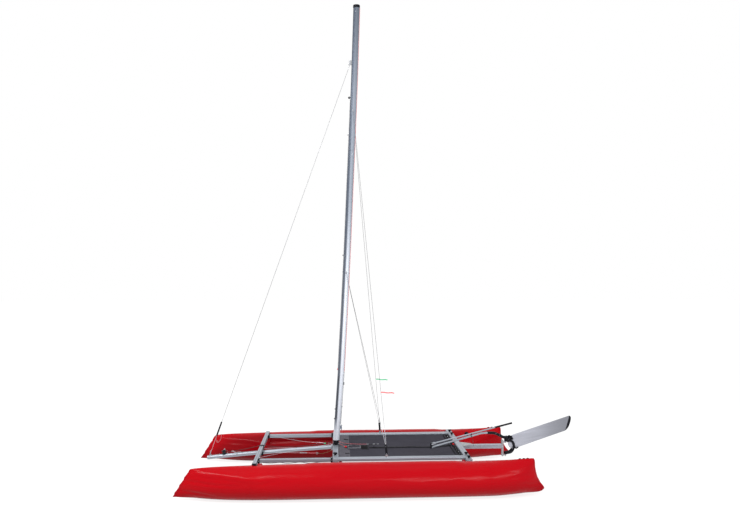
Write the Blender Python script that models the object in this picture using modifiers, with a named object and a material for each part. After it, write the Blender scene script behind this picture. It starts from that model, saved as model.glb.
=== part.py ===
"""Inflatable sailing catamaran.

Two inflated hulls carry a bolted frame of aluminium profiles with a trampoline, a mast held
by stays, a bowsprit, and a kick-up rudder steered by a tiller with an extension.
Lengths are in metres. X points to the bow, Y to port and Z up. The pieces are laid out from
the middle of the mast beam, and the whole boat is then moved so that the middle of its
outline stands over the origin.
"""

from math import asin, atan, atan2, cos, degrees, pi, radians, sin

import bmesh
import bpy
from mathutils import Matrix, Vector

# Whole boat
ORIGIN_X = 0.714            # from the middle of the outline forward to the mast beam
GAP = 0.0003                # clearance between pieces that rest on each other
SIDES = (("port", 1), ("starboard", -1))

# Hulls: pinched to an upright seam at both ends, round in between
HULL_Y = 0.827              # middle of each hull
HULL_SIDES = 28
SEAM = 0.007                # half the thickness of the seam at each end

# Frame
FRAME_TOP = 0.423
RAIL_Y = 0.62
FRONT_RAIL = (0.040, 0.044)     # width and height
AFT_RAIL = (0.085, 0.035)
CROSSBAR_X = 0.981
CROSSBAR = (0.048, 0.812, 0.048)        # width, half length and height
MAST_BEAM = (0.072, 0.700, 0.043)
REAR_BEAM_X = -1.650
REAR_BEAM = (0.072, 0.780, 0.043)
BEAM_TOP = 0.426
EDGE = 0.004                # rounding of the profiles' edges
SMALL_EDGE = 0.002          # and of the fittings' edges
COLLAR_WALL = 0.007
COLLAR_LENGTH = 0.022
CROSSBAR_LOW = FRAME_TOP - CROSSBAR[2]
BEAM_LOW = BEAM_TOP - MAST_BEAM[2]
CAP_THICK = 0.0045

# Pads on the hulls: middle along the boat, half length, inner edge, underside and top
PADS = (
    (CROSSBAR_X, 0.055, 0.655, 0.28, CROSSBAR_LOW - GAP),
    (0.0, 0.060, 0.650, 0.26, BEAM_LOW - GAP),
    (REAR_BEAM_X, 0.055, 0.655, 0.27, BEAM_LOW - GAP),
)
PAD_OUTER = 0.760
# Pads that stand up beside the beams: first and last X, inner and outer Y, and top
UPRIGHT_PADS = (
    (0.890, 0.9565, 0.690, 0.775, 0.394),
    (-0.085, -0.0365, 0.690, 0.760, 0.407),
    (-1.6135, -1.560, 0.690, 0.765, 0.405),
)
UPRIGHT_PAD_FOOT = 0.30
SEAT_PAST = 0.005           # how far the seats run beyond the ends of the bars
SEAT_HEIGHT = 0.2

# Bowsprit, an aluminium tube in three stretches at slight angles
BOWSPRIT_RADIUS = 0.025
BOWSPRIT_LINE = ((0.0380, 0.398), (0.60, 0.365), (1.20, 0.3225), (1.690, 0.281))
# Black blocks round the sprit: first and last X, underside and top
SPRIT_BLOCKS = (
    ("bowsprit_clamp", CROSSBAR_X - 0.026, CROSSBAR_X + 0.026, 0.303, CROSSBAR_LOW - GAP),
    ("bowsprit_socket", 0.0363, 0.060, 0.364, 0.4285),
)
SPRIT_BLOCK_HALF = 0.034
SPRIT_EYE = (0.010, 0.004)  # half length and half width

# Trampoline
TRAMPOLINE_TOP = 0.406
TRAMPOLINE_THICK = 0.008
TRAMPOLINE_SAG = 0.028      # how far its middle hangs below its edges
# Share of the way from the middle to the edge, and share of the sag there
SAG_ALONG = ((0.0, 1.0), (0.45, 0.99), (0.66, 0.92), (0.80, 0.74), (0.90, 0.47), (1.0, 0.0))
SAG_ACROSS = ((0.0, 1.0), (0.40, 1.0), (0.60, 0.80), (0.80, 0.45), (1.0, 0.0))
# Strap and pouch: first and last X, right and left Y, and height
FOOT_STRAP = (-1.55, -0.45, -0.025, 0.025, 0.004)
SHEET_POUCH = (-0.44, -0.165, -0.105, 0.105, 0.022)

TRAMPOLINE_HALF = RAIL_Y - AFT_RAIL[0] / 2 - GAP
TRAMPOLINE_X = (REAR_BEAM_X + REAR_BEAM[0] / 2 + GAP, -MAST_BEAM[0] / 2 - GAP)

# Mast
MAST_FOOT_Z = 0.490
MAST_TOP_Z = 6.338
MAST_CAP_Z = 6.378
CAP_PAST = 0.004            # how far the cap stands out beyond the mast
CAP_ROUND = 0.007
MAST_CHORD = 0.085
MAST_WIDTH = 0.058
MAST_SIDES = 24
# Height, and how far forward the middle of the mast is there
MAST_LINE = (
    (0.490, -0.010),
    (1.360, -0.068),
    (2.200, -0.112),
    (3.030, -0.151),
    (3.890, -0.186),
    (4.660, -0.218),
    (5.400, -0.246),
    (6.378, -0.275),
)
MAST_FOOT = (-0.040, 0.034, 0.031, 0.012)       # first and last X, half width and height
MAST_PLUG = (0.033, 0.022)
# Fitting: level of its foot and head, how far it stands out, its half width, ahead or behind
MAST_FITTINGS = (
    ("forestay_tang", 5.546, 5.612, 0.034, 0.006, 1),
    ("halyard_block", 5.070, 5.125, 0.030, 0.010, 1),
    ("mast_cleat", 0.600, 0.720, 0.026, 0.008, -1),
)

# Stays
WIRE = 0.002
ADJUSTER = 0.0075
FORESTAY_TOP = Vector((-0.182, 0.0, 5.5445))
FORESTAY_FOOT = Vector((1.654, 0.0, 0.3312))
FORESTAY_ADJUSTER_Z = (0.553, 0.750)
CHAINPLATE_X = -0.637
CHAINPLATE_TOP = 0.452
CHAINPLATE = (0.015, 0.003)     # half length and half thickness
SHROUD_STEP = 0.0045        # from the adjuster's middle to each shroud
SHROUD_ADJUSTER_LENGTH = 0.130
UPPER_BAND_Z = 4.925
LOWER_BAND_Z = 2.735
BAND = (0.004, 0.018)       # thickness and height

# Rudder beam, post and steering axis
RUDDER_BEAM = (0.040, 0.057)
RUDDER_BEAM_TOP = 0.408
# Half of the gusset's outline: how far aft of the rear beam, and how wide
GUSSET = ((0.0, 0.11), (0.05, 0.085), (0.15, 0.020))
GUSSET_THICK = 0.005
POST_X = (-2.242, -2.270)
POST_Z = (0.244, 0.4595)
POST_WIDTH = 0.028
STEER_X = -2.297
STEER_REST = radians(24)    # the tiller rests this far to port
LUG_Z = ((0.4240, 0.4385), (0.2560, 0.2685))
LUG_HALF = 0.011
PIN = 0.005
PIN_SLACK = 0.0004

# Rudder head, in the steering frame: X forward along the tiller, from the steering axis
HEAD_ARC = (-0.056, 0.367)
HEAD_ARC_RADIUS = 0.0795
HEAD_BAR = 0.032
CHEEK_THICK = 0.009
CHEEK_GAP = 0.014           # from the middle plane to the inner face of a cheek
HEAD_BLOCK_X = (-0.040, 0.006)
HEAD_BLOCK_Z = (0.440, 0.512)
HEAD_FOOT_X = (-0.014, 0.006)
HEAD_FOOT_Z = (0.2715, 0.2965)
HEAD_HALF = 0.020
HEAD_EAR = (-0.080, 0.482, 0.030)       # middle and radius of the ear behind the head block
# Knobs outside the port cheek: X, Z and radius
HEAD_KNOBS = ((-0.078, 0.502, 0.012), (-0.098, 0.470, 0.012))
HEAD_KNOB_REACH = 0.037
LEVER = ((-0.145, 0.343), (-0.163, 0.336), (-0.207, 0.347))
LEVER_RADIUS = 0.0075
LEVER_Y = 0.029
STEER_PIN_Z = ((0.417, 0.460), (0.247, 0.290))
BLADE_PIVOT = (-0.137, 0.350)
BLADE_PIN = 0.006
BLADE_RAISED = atan(0.155)  # rest angle above the horizontal
BLADE_CHORD = 0.190
BLADE_THICK = 0.018
BLADE_NOSE = (0.015, 0.070)     # middle of the round nose, aft of and above the pivot
BLADE_TOP_LENGTH = 1.036        # from the middle of the nose to the end of each edge
BLADE_LOW_LENGTH = 0.925
TIP_BULGE = 0.053           # how far the middle of the tip's round end stands out

# Tiller and extension, in the steering frame
ARM_RADIUS = 0.0165
ARM_LINE = ((0.0063, 0.488), (0.030, 0.488), (0.110, 0.533), (0.188, 0.571), (0.297, 0.588))
TILLER_RADIUS = 0.0125
TILLER_LINE = ((0.2990, 0.588), (0.400, 0.594), (1.160, 0.503))
EXTENSION_PIN = (1.179, 0.543)
EXTENSION_SLOPE = atan(0.1022)
EXTENSION_RADIUS = 0.009
EXTENSION_GRIP_AT = 1.008
EXTENSION_LENGTH = 1.298
GRIP_RADIUS = 0.0115
JOINT_X = (1.1615, 1.195)
JOINT_Z = (0.486, 0.520)
JOINT_HALF = 0.016
SWING_PIN_TOP = 0.533
KNUCKLE_HALF = 0.012
KNUCKLE_FOOT = 0.5215
LIFT_PIN = (0.004, 0.0215)      # radius and half length
FORK = (-0.055, 0.010, 0.020, 0.009)    # first and last X, half width and half height
FORK_SLOT = (-0.030, 0.0145)    # its end and half width

# Deck gear
FURLER = (1.472, 0.030, 0.044)      # place along the bowsprit, radius and height
FURLER_CORE = 0.021
FURLER_FLANGE = 0.006


def paint(name, colour, roughness, metallic=0.0):
    """A plain material."""
    material = bpy.data.materials.new(name)
    material.use_nodes = True
    shader = material.node_tree.nodes["Principled BSDF"]
    shader.inputs["Base Color"].default_value = (*colour, 1)
    shader.inputs["Roughness"].default_value = roughness
    shader.inputs["Metallic"].default_value = metallic
    return material


def start():
    """Empties the file and makes the collections."""
    for old in list(bpy.data.objects):
        bpy.data.objects.remove(old)
    for name in ("Sailing catamaran", "Cutters"):
        bpy.context.scene.collection.children.link(bpy.data.collections.new(name))


start()
PARTS = bpy.data.collections["Sailing catamaran"]
CUTTERS = bpy.data.collections["Cutters"]
RED = paint("Red coated fabric", (0.55, 0.0, 0.015), 0.35)
ALUMINIUM = paint("Anodised aluminium", (0.62, 0.64, 0.68), 0.35, 0.9)
MAST_METAL = paint("Blue-grey anodised aluminium", (0.36, 0.40, 0.46), 0.4, 0.8)
BLACK = paint("Black nylon", (0.015, 0.015, 0.02), 0.5)
CLOTH = paint("Dark grey mesh cloth", (0.055, 0.06, 0.07), 0.85)
WEB = paint("Black webbing", (0.01, 0.01, 0.012), 0.9)
STEEL = paint("Stainless steel", (0.55, 0.55, 0.56), 0.3, 1.0)


def empty(name, place, parent=None, turn=(0, 0, 0)):
    """A frame that carries pieces."""
    frame = bpy.data.objects.new(name, None)
    frame.location = place
    frame.rotation_euler = turn
    frame.parent = parent
    PARTS.objects.link(frame)
    return frame


BOAT = empty("boat", (ORIGIN_X, 0, 0))
STEERING = empty("steering_axis", (STEER_X, 0, 0), BOAT, (0, 0, STEER_REST))
BLADE_AXIS = empty(
    "blade_axis", (BLADE_PIVOT[0], 0, BLADE_PIVOT[1]), STEERING, (0, BLADE_RAISED, 0)
)
KNUCKLE_AXIS = empty("extension_swing_axis", (EXTENSION_PIN[0], 0, 0), STEERING)
EXTENSION_AXIS = empty(
    "extension_lift_axis", (0, 0, EXTENSION_PIN[1]), KNUCKLE_AXIS, (0, EXTENSION_SLOPE, 0)
)


def add(name, mesh, material, parent=BOAT, smooth=True):
    """A piece from a finished bmesh or mesh data."""
    if isinstance(mesh, bmesh.types.BMesh):
        data = bpy.data.meshes.new(name)
        bmesh.ops.recalc_face_normals(mesh, faces=mesh.faces)
        mesh.to_mesh(data)
        mesh.free()
        mesh = data
    piece = bpy.data.objects.new(name, mesh)
    if material:
        mesh.materials.clear()
        mesh.materials.append(material)
        PARTS.objects.link(piece)
    else:
        CUTTERS.objects.link(piece)
        piece.hide_render = True
        piece.display_type = "WIRE"
    piece.parent = parent
    if smooth:
        mesh.shade_smooth()
        mesh.set_sharp_from_angle(angle=radians(35))
    return piece


def box(name, low, high, material, parent=BOAT, edge=0.0):
    """A box between two corners, its edges rounded by edge."""
    low, high = Vector(low), Vector(high)
    mesh = bmesh.new()
    place = Matrix.Translation((low + high) / 2) @ Matrix.Diagonal((*(high - low), 1))
    bmesh.ops.create_cube(mesh, size=1, matrix=place)
    piece = add(name, mesh, material, parent, smooth=False)
    if edge:
        bevel = piece.modifiers.new("Rounded edges", "BEVEL")
        bevel.width = edge
        bevel.segments = 2
        bevel.limit_method = "ANGLE"
    return piece


def rod(name, start_at, end_at, radius, material, parent=BOAT, sides=16):
    """A straight round bar between two points."""
    start_at, end_at = Vector(start_at), Vector(end_at)
    along = end_at - start_at
    mesh = bmesh.new()
    turn = along.to_track_quat("Z", "Y").to_matrix().to_4x4()
    bmesh.ops.create_cone(
        mesh,
        cap_ends=True,
        segments=sides,
        radius1=radius,
        radius2=radius,
        depth=along.length,
        matrix=Matrix.Translation((start_at + end_at) / 2) @ turn,
    )
    return add(name, mesh, material, parent)


def bent_tube(name, points, radius, material, parent=BOAT):
    """A round tube along a few points, with filled ends."""
    curve = bpy.data.curves.new(name, "CURVE")
    curve.dimensions = "3D"
    curve.bevel_depth = radius
    curve.bevel_resolution = 2
    curve.use_fill_caps = True
    curve.materials.append(material)
    spline = curve.splines.new("POLY")
    spline.points.add(len(points) - 1)
    for point, place in zip(spline.points, points):
        point.co = (*place, 1)
    piece = bpy.data.objects.new(name, curve)
    piece.parent = parent
    PARTS.objects.link(piece)
    return piece


def plate(name, outline, low, high, material, parent=BOAT, axis="Y"):
    """A flat outline, drawn in X and Z or in X and Y, made solid from low to high along axis."""
    mesh = bmesh.new()
    if axis == "Y":
        ring = [mesh.verts.new((x, low, z)) for x, z in outline]
        shift = (0, high - low, 0)
    else:
        ring = [mesh.verts.new((x, y, low)) for x, y in outline]
        shift = (0, 0, high - low)
    face = mesh.faces.new(ring)
    wall = bmesh.ops.extrude_face_region(mesh, geom=[face])
    moved = [item for item in wall["geom"] if isinstance(item, bmesh.types.BMVert)]
    bmesh.ops.translate(mesh, verts=moved, vec=shift)
    return add(name, mesh, material, parent)


def loft(name, rings, material, parent=BOAT):
    """A skin over rings with equal numbers of points, closed at both ends across Y."""
    mesh = bmesh.new()
    rows = [[mesh.verts.new(point) for point in ring] for ring in rings]
    count = len(rows[0])
    for row, after in zip(rows, rows[1:]):
        for k in range(count):
            mesh.faces.new((row[k], row[(k + 1) % count], after[(k + 1) % count], after[k]))
    for row in (rows[0], rows[-1]):
        half = count // 2
        for k in range(half // 2, half // 2 + half):
            near = row[k], row[(k + 1) % count]
            far = row[(half - k - 1) % count], row[(half - k) % count]
            corners = list(dict.fromkeys(near + far))
            if len(corners) > 2:
                mesh.faces.new(corners)
    return add(name, mesh, material, parent)


def sagging(name, along, across, low, high, material):
    """A sheet that hangs with the trampoline, from low to high above the sagging surface."""
    half_length = (TRAMPOLINE_X[1] - TRAMPOLINE_X[0]) / 2
    middle = (TRAMPOLINE_X[0] + TRAMPOLINE_X[1]) / 2

    def stations(ends, centre, half, table):
        """The two ends, and where the sag changes between them."""
        bends = {centre + sign * half * share for share, _ in table for sign in (-1, 1)}
        return [ends[0], *sorted(at for at in bends if ends[0] < at < ends[1]), ends[1]]

    xs = stations(along, middle, half_length, SAG_ALONG)
    ys = stations(across, 0.0, TRAMPOLINE_HALF, SAG_ACROSS)
    mesh = bmesh.new()
    bmesh.ops.create_grid(mesh, x_segments=len(xs) - 1, y_segments=len(ys) - 1, size=1)
    for point in mesh.verts:
        x = xs[round((point.co.x + 1) / 2 * (len(xs) - 1))]
        y = ys[round((point.co.y + 1) / 2 * (len(ys) - 1))]
        share = between(SAG_ALONG, abs(x - middle) / half_length)
        share *= between(SAG_ACROSS, abs(y) / TRAMPOLINE_HALF)
        point.co = (x, y, TRAMPOLINE_TOP - TRAMPOLINE_SAG * share + low)
    wall = bmesh.ops.extrude_face_region(mesh, geom=mesh.faces[:])
    moved = [item for item in wall["geom"] if isinstance(item, bmesh.types.BMVert)]
    bmesh.ops.translate(mesh, verts=moved, vec=(0, 0, high - low))
    return add(name, mesh, material)


def join(piece, others, operation="UNION"):
    """Cuts others out of the piece, or joins them to it."""
    for other in others:
        step = piece.modifiers.new(operation.title(), "BOOLEAN")
        step.operation = operation
        step.solver = "EXACT"
        step.object = other


def arc(middle, radius, first, last, steps):
    """Points on an arc, from one angle to another in degrees."""
    found = []
    for k in range(steps + 1):
        angle = radians(first + (last - first) * k / steps)
        found.append((middle[0] + radius * cos(angle), middle[1] + radius * sin(angle)))
    return found


def between(table, at):
    """The value beside at in a table of rising pairs."""
    for (low, first), (high, second) in zip(table, table[1:]):
        if at <= high:
            break
    return first + (second - first) * (at - low) / (high - low)


# Hull stations, bow to stern: the foot and top of the section's middle line (X and Z), its
# half width, how much it is pinched above and below, and how far its line bows forward
HULL_STATIONS = (
    (1.941, 0.050, 1.737, 0.374, SEAM, 1.0, 0.000),
    (1.850, 0.042, 1.690, 0.378, 0.045, 1.5, 0.000),
    (1.712, 0.034, 1.600, 0.382, 0.088, 1.45, 0.0),
    (1.487, 0.015, 1.430, 0.391, 0.136, 1.3, 0.0),
    (1.230, 0.004, 1.200, 0.399, 0.171, 1.15, 0.0),
    (0.950, 0.000, 0.940, 0.402, 0.192, 1.05, 0.0),
    (0.600, 0.000, 0.600, 0.406, 0.203, 1.0, 0.0),
    (0.000, 0.000, 0.000, 0.410, 0.205, 1.0, 0.0),
    (-0.900, 0.000, -0.900, 0.410, 0.205, 1.0, 0.0),
    (-1.540, 0.000, -1.540, 0.411, 0.205, 1.0, 0.0),
    (-1.900, 0.001, -1.880, 0.416, 0.193, 1.05, 0.0),
    (-2.180, 0.014, -2.130, 0.425, 0.158, 1.2, 0.006),
    (-2.380, 0.036, -2.300, 0.437, 0.104, 1.4, 0.016),
    (-2.500, 0.062, -2.400, 0.441, 0.050, 1.5, 0.026),
    (-2.562, 0.092, -2.445, 0.430, SEAM, 1.0, 0.030),
)


def hull_ring(station, y):
    """One section, its points going round from the outboard side."""
    foot_x, foot_z, top_x, top_z, half_width, pinch, bow = station
    ring = []
    for k in range(HULL_SIDES):
        angle = 2 * pi * k / HULL_SIDES
        across, up = cos(angle), sin(angle)
        share = (1 + up) / 2
        wide = half_width * abs(across) ** pinch * (1 if across > 0 else -1)
        x = foot_x + (top_x - foot_x) * share + bow * (1 - up * up)
        ring.append((x, y + wide, foot_z + (top_z - foot_z) * share))
    return ring


def hulls():
    """Both hulls, each with the pads that its beams rest on, and cut to seat the beams."""
    bars = ((CROSSBAR_X, CROSSBAR, CROSSBAR_LOW), (REAR_BEAM_X, REAR_BEAM, BEAM_LOW))
    for side, sign in SIDES:
        rings = [hull_ring(station, sign * HULL_Y) for station in HULL_STATIONS]
        hull = loft("hull_" + side, rings, RED)
        for k, (x, half, inner, low, top) in enumerate(PADS):
            ends = sorted((sign * inner, sign * PAD_OUTER))
            corners = (x - half, ends[0], low), (x + half, ends[1], top)
            join(hull, [box(f"pad_{side}_{k}", *corners, None)])
        for k, (first, last, inner, outer, top) in enumerate(UPRIGHT_PADS):
            ends = sorted((sign * inner, sign * outer))
            corners = (first, ends[0], UPRIGHT_PAD_FOOT), (last, ends[1], top)
            join(hull, [box(f"upright_pad_{side}_{k}", *corners, None)])
        for k, (x, (width, half_length, _), low) in enumerate(bars):
            ends = sorted((0, sign * (half_length + SEAT_PAST)))
            first, last = x - width / 2 - GAP, x + width / 2 + GAP
            corners = (first, ends[0], low - GAP), (last, ends[1], low + SEAT_HEIGHT)
            join(hull, [box(f"seat_{side}_{k}", *corners, None)], "DIFFERENCE")


def collar(name, along, middle, hole, parent=BOAT):
    """A black socket round a rail: along is its first and last X, hole the rail's section."""
    first, last = along
    (y, z), (width, height) = middle, hole

    def block(block_name, back, front, grow, material):
        """A box that is larger than the rail's section by grow on each side."""
        across, up = width / 2 + grow, height / 2 + grow
        low, high = (back, y - across, z - up), (front, y + across, z + up)
        return box(block_name, low, high, material, parent)

    piece = block(name, first, last, COLLAR_WALL, BLACK)
    cutter = block(name + "_hole", first - COLLAR_LENGTH, last + COLLAR_LENGTH, 2 * GAP, None)
    join(piece, [cutter], "DIFFERENCE")


def frame():
    """Crossbars, beams and rails with their sockets."""
    width, half, height = CROSSBAR
    x = CROSSBAR_X
    low = (x - width / 2, -half, FRAME_TOP - height)
    box("front_crossbar", low, (x + width / 2, half, FRAME_TOP), ALUMINIUM, edge=EDGE)
    for side, sign in SIDES:
        ends = sorted((sign * (half + GAP), sign * (half + CAP_THICK)))
        corners = (x - width / 2, ends[0], FRAME_TOP - height), (x + width / 2, ends[1], FRAME_TOP)
        box("crossbar_cap_" + side, *corners, BLACK)
    for name, middle, (width, half, height) in (
        ("mast_beam", 0.0, MAST_BEAM),
        ("rear_beam", REAR_BEAM_X, REAR_BEAM),
    ):
        low = (middle - width / 2, -half, BEAM_TOP - height)
        box(name, low, (middle + width / 2, half, BEAM_TOP), ALUMINIUM, edge=EDGE)
    mast_beam_front = MAST_BEAM[0] / 2 + GAP
    crossbar_back = CROSSBAR_X - CROSSBAR[0] / 2 - GAP
    aft_rail_ends = (REAR_BEAM_X + REAR_BEAM[0] / 2 + GAP, -mast_beam_front)
    for side, sign in SIDES:
        y = sign * RAIL_Y
        for name, (first, last), (width, height) in (
            ("front_rail_", (mast_beam_front, crossbar_back), FRONT_RAIL),
            ("aft_rail_", aft_rail_ends, AFT_RAIL),
        ):
            low = (first, y - width / 2, FRAME_TOP - height)
            box(name + side, low, (last, y + width / 2, FRAME_TOP), ALUMINIUM, edge=EDGE)
        middle = (y, FRAME_TOP - FRONT_RAIL[1] / 2)
        front = (crossbar_back - COLLAR_LENGTH, crossbar_back)
        back = (mast_beam_front, mast_beam_front + COLLAR_LENGTH)
        collar("crossbar_socket_" + side, front, middle, FRONT_RAIL)
        collar("mast_beam_socket_" + side, back, middle, FRONT_RAIL)


def bowsprit():
    """The sprit with its clamp under the crossbar, its socket on the mast beam and its eye."""
    line = [(x, 0, z) for x, z in BOWSPRIT_LINE]
    bent_tube("bowsprit", line, BOWSPRIT_RADIUS, ALUMINIUM)
    hole = BOWSPRIT_RADIUS + 2 * GAP
    for name, first, last, low, high in SPRIT_BLOCKS:
        lowest, highest = (first, -SPRIT_BLOCK_HALF, low), (last, SPRIT_BLOCK_HALF, high)
        piece = box(name, lowest, highest, BLACK, edge=SMALL_EDGE)
        past = SPRIT_BLOCK_HALF
        ends = [(x, 0, between(BOWSPRIT_LINE, x)) for x in (first - past, last + past)]
        join(piece, [rod(name + "_hole", *ends, hole, None, sides=24)], "DIFFERENCE")
    half_length, half_width = SPRIT_EYE
    eye_low = between(BOWSPRIT_LINE, FORESTAY_FOOT.x - half_length) + hole
    low = (FORESTAY_FOOT.x - half_length, -half_width, eye_low)
    high = (FORESTAY_FOOT.x + half_length, half_width, FORESTAY_FOOT.z - 2 * GAP)
    box("bowsprit_eye", low, high, STEEL)
    x, radius, height = FURLER
    low = between(BOWSPRIT_LINE, x - radius) + BOWSPRIT_RADIUS + GAP
    drum = rod("furler_drum", (x, 0, low), (x, 0, low + FURLER_FLANGE), radius, BLACK, sides=20)
    core = (x, 0, low + FURLER_FLANGE / 2), (x, 0, low + height - FURLER_FLANGE / 2)
    join(drum, [rod("furler_core", *core, FURLER_CORE, None, sides=20)])
    flange = (x, 0, low + height - FURLER_FLANGE), (x, 0, low + height)
    join(drum, [rod("furler_flange", *flange, radius, None, sides=20)])


def trampoline():
    """The cloth between beams and rails, with its foot strap and sheet pouch."""
    width = (-TRAMPOLINE_HALF, TRAMPOLINE_HALF)
    sagging("trampoline", TRAMPOLINE_X, width, -TRAMPOLINE_THICK, 0.0, CLOTH)
    for name, (first, last, right, left, height) in (
        ("foot_strap", FOOT_STRAP),
        ("sheet_pouch", SHEET_POUCH),
    ):
        sagging(name, (first, last), (right, left), GAP, GAP + height, WEB)


def mast_ring(z, grow=0.0):
    """One level section of the mast, its points going round from the side."""
    middle = between(MAST_LINE, z)
    ring = []
    for k in range(MAST_SIDES):
        angle = 2 * pi * k / MAST_SIDES
        x = middle + (MAST_CHORD / 2 + grow) * sin(angle)
        ring.append((x, (MAST_WIDTH / 2 + grow) * cos(angle), z))
    return ring


def band(name, z):
    """A band round the mast that the shrouds hang from."""
    thick, height = BAND
    levels = (z - height / 2, z + height / 2)
    piece = loft(name, [mast_ring(level, thick) for level in levels], STEEL)
    inside = [mast_ring(level, GAP) for level in (z - height, z + height)]
    join(piece, [loft(name + "_hole", inside, None)], "DIFFERENCE")


def mast():
    """The mast on its foot, with its cap and fittings."""
    low, high = BEAM_TOP + GAP, MAST_FOOT_Z - GAP
    first, last, half, height = MAST_FOOT
    corners = (first, -half, low), (last, half, low + height)
    piece = box("mast_foot", *corners, BLACK, edge=SMALL_EDGE)
    middle = between(MAST_LINE, MAST_FOOT_Z)
    along, across = MAST_PLUG
    turns = [2 * pi * k / 16 for k in range(16)]
    plug = loft("mast_foot_plug", [
        [(middle + along * sin(turn), across * cos(turn), z) for turn in turns]
        for z in (low + height / 3, high)
    ], None)
    join(piece, [plug])
    levels = [z for z, _ in MAST_LINE[:-1]] + [MAST_TOP_Z]
    loft("mast", [mast_ring(z) for z in levels], MAST_METAL)
    low, high = MAST_TOP_Z + GAP, MAST_CAP_Z - GAP
    cap = [(low, CAP_PAST), (high - CAP_ROUND, CAP_PAST), (high, CAP_PAST - CAP_ROUND)]
    loft("mast_cap", [mast_ring(z, grow) for z, grow in cap], BLACK)
    band("shroud_band_upper", UPPER_BAND_Z)
    band("shroud_band_lower", LOWER_BAND_Z)
    for name, first, last, out, half, ahead in MAST_FITTINGS:
        reach = MAST_CHORD / 2 + 2 * GAP
        seat = max(ahead * between(MAST_LINE, z) for z in (first, last)) + reach
        ends = sorted((ahead * seat, ahead * (seat + out)))
        material = STEEL if name == "forestay_tang" else BLACK
        corners = (ends[0], -half, first), (ends[1], half, last)
        box(name, *corners, material, edge=SMALL_EDGE)


def stays():
    """Forestay and two pairs of shrouds, with their adjusters and chainplates."""
    run = FORESTAY_FOOT - FORESTAY_TOP
    low, high = [FORESTAY_TOP + run * ((z - FORESTAY_TOP.z) / run.z) for z in FORESTAY_ADJUSTER_Z]
    clear = run.normalized() * 2 * GAP
    rod("forestay", FORESTAY_TOP + clear, high - clear, WIRE, STEEL, sides=8)
    rod("forestay_adjuster", high, low, ADJUSTER, BLACK, sides=12)
    rod("forestay_tail", low + clear, FORESTAY_FOOT - clear, WIRE, STEEL, sides=8)
    for side, sign in SIDES:
        root = Vector((CHAINPLATE_X, sign * RAIL_Y, CHAINPLATE_TOP))
        along, across = CHAINPLATE
        low_corner = (root.x - along, root.y - across, FRAME_TOP + GAP)
        high_corner = (root.x + along, root.y + across, root.z)
        box("chainplate_" + side, low_corner, high_corner, STEEL)
        side_y = sign * (MAST_WIDTH / 2 + BAND[0] + WIRE + 2 * GAP)
        upper = Vector((between(MAST_LINE, UPPER_BAND_Z), side_y, UPPER_BAND_Z))
        lower = Vector((between(MAST_LINE, LOWER_BAND_Z), side_y, LOWER_BAND_Z))
        slope = (upper - root).normalized()
        head = root + slope * SHROUD_ADJUSTER_LENGTH
        rod("shroud_adjuster_" + side, root + slope * 4 * GAP, head, ADJUSTER, BLACK, sides=12)
        for name, top, way in (("shroud_upper_", upper, -1), ("shroud_lower_", lower, 1)):
            foot = head + Vector((way * SHROUD_STEP, 0, 0))
            rise = (top - foot).normalized()
            rod(name + side, foot + rise * 3 * GAP, top, WIRE, STEEL, sides=8)


def rudder_beam():
    """The beam that reaches aft to the rudder post, its gusset plate, and the post's lugs."""
    width, height = RUDDER_BEAM
    front = REAR_BEAM_X - REAR_BEAM[0] / 2 - GAP
    low = (POST_X[0] + GAP, -width / 2, RUDDER_BEAM_TOP - height)
    box("rudder_beam", low, (front, width / 2, RUDDER_BEAM_TOP), ALUMINIUM, edge=EDGE)
    outline = [(front - aft, y) for aft, y in GUSSET]
    outline += [(front - aft, -y) for aft, y in reversed(GUSSET)]
    top = RUDDER_BEAM_TOP + GAP
    plate("rudder_beam_gusset", outline, top, top + GUSSET_THICK, ALUMINIUM, axis="Z")
    half = (POST_X[0] - POST_X[1]) / 2
    middle = (POST_X[0] + POST_X[1]) / 2
    foot = arc((middle, POST_Z[0] + half), half, 180, 360, 8)
    outline = foot + [(POST_X[0], POST_Z[1]), (POST_X[1], POST_Z[1])]
    post = plate("rudder_post", outline, -POST_WIDTH / 2, POST_WIDTH / 2, ALUMINIUM)
    for k, (low, high) in enumerate(LUG_Z):
        corners = (STEER_X - LUG_HALF, -LUG_HALF, low), (POST_X[1] + EDGE, LUG_HALF, high)
        join(post, [box(f"lug_{k}", *corners, None)])
        ends = (STEER_X, 0, low - 0.01), (STEER_X, 0, high + 0.01)
        hole = rod(f"lug_hole_{k}", *ends, PIN + PIN_SLACK, None, sides=20)
        join(post, [hole], "DIFFERENCE")


def head_outline():
    """The C of one cheek in X and Z: round behind, with a straight bar at head and foot."""
    outer = HEAD_ARC_RADIUS + HEAD_BAR / 2
    inner = HEAD_ARC_RADIUS - HEAD_BAR / 2
    x, z = HEAD_ARC
    top, foot = -0.012, 0.006
    outline = [(top, z + outer)] + arc((x, z), outer, 90, 270, 14) + [(foot, z - outer)]
    outline += [(foot, z - inner)] + arc((x, z), inner, 270, 90, 14) + [(top, z + inner)]
    return outline


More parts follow.
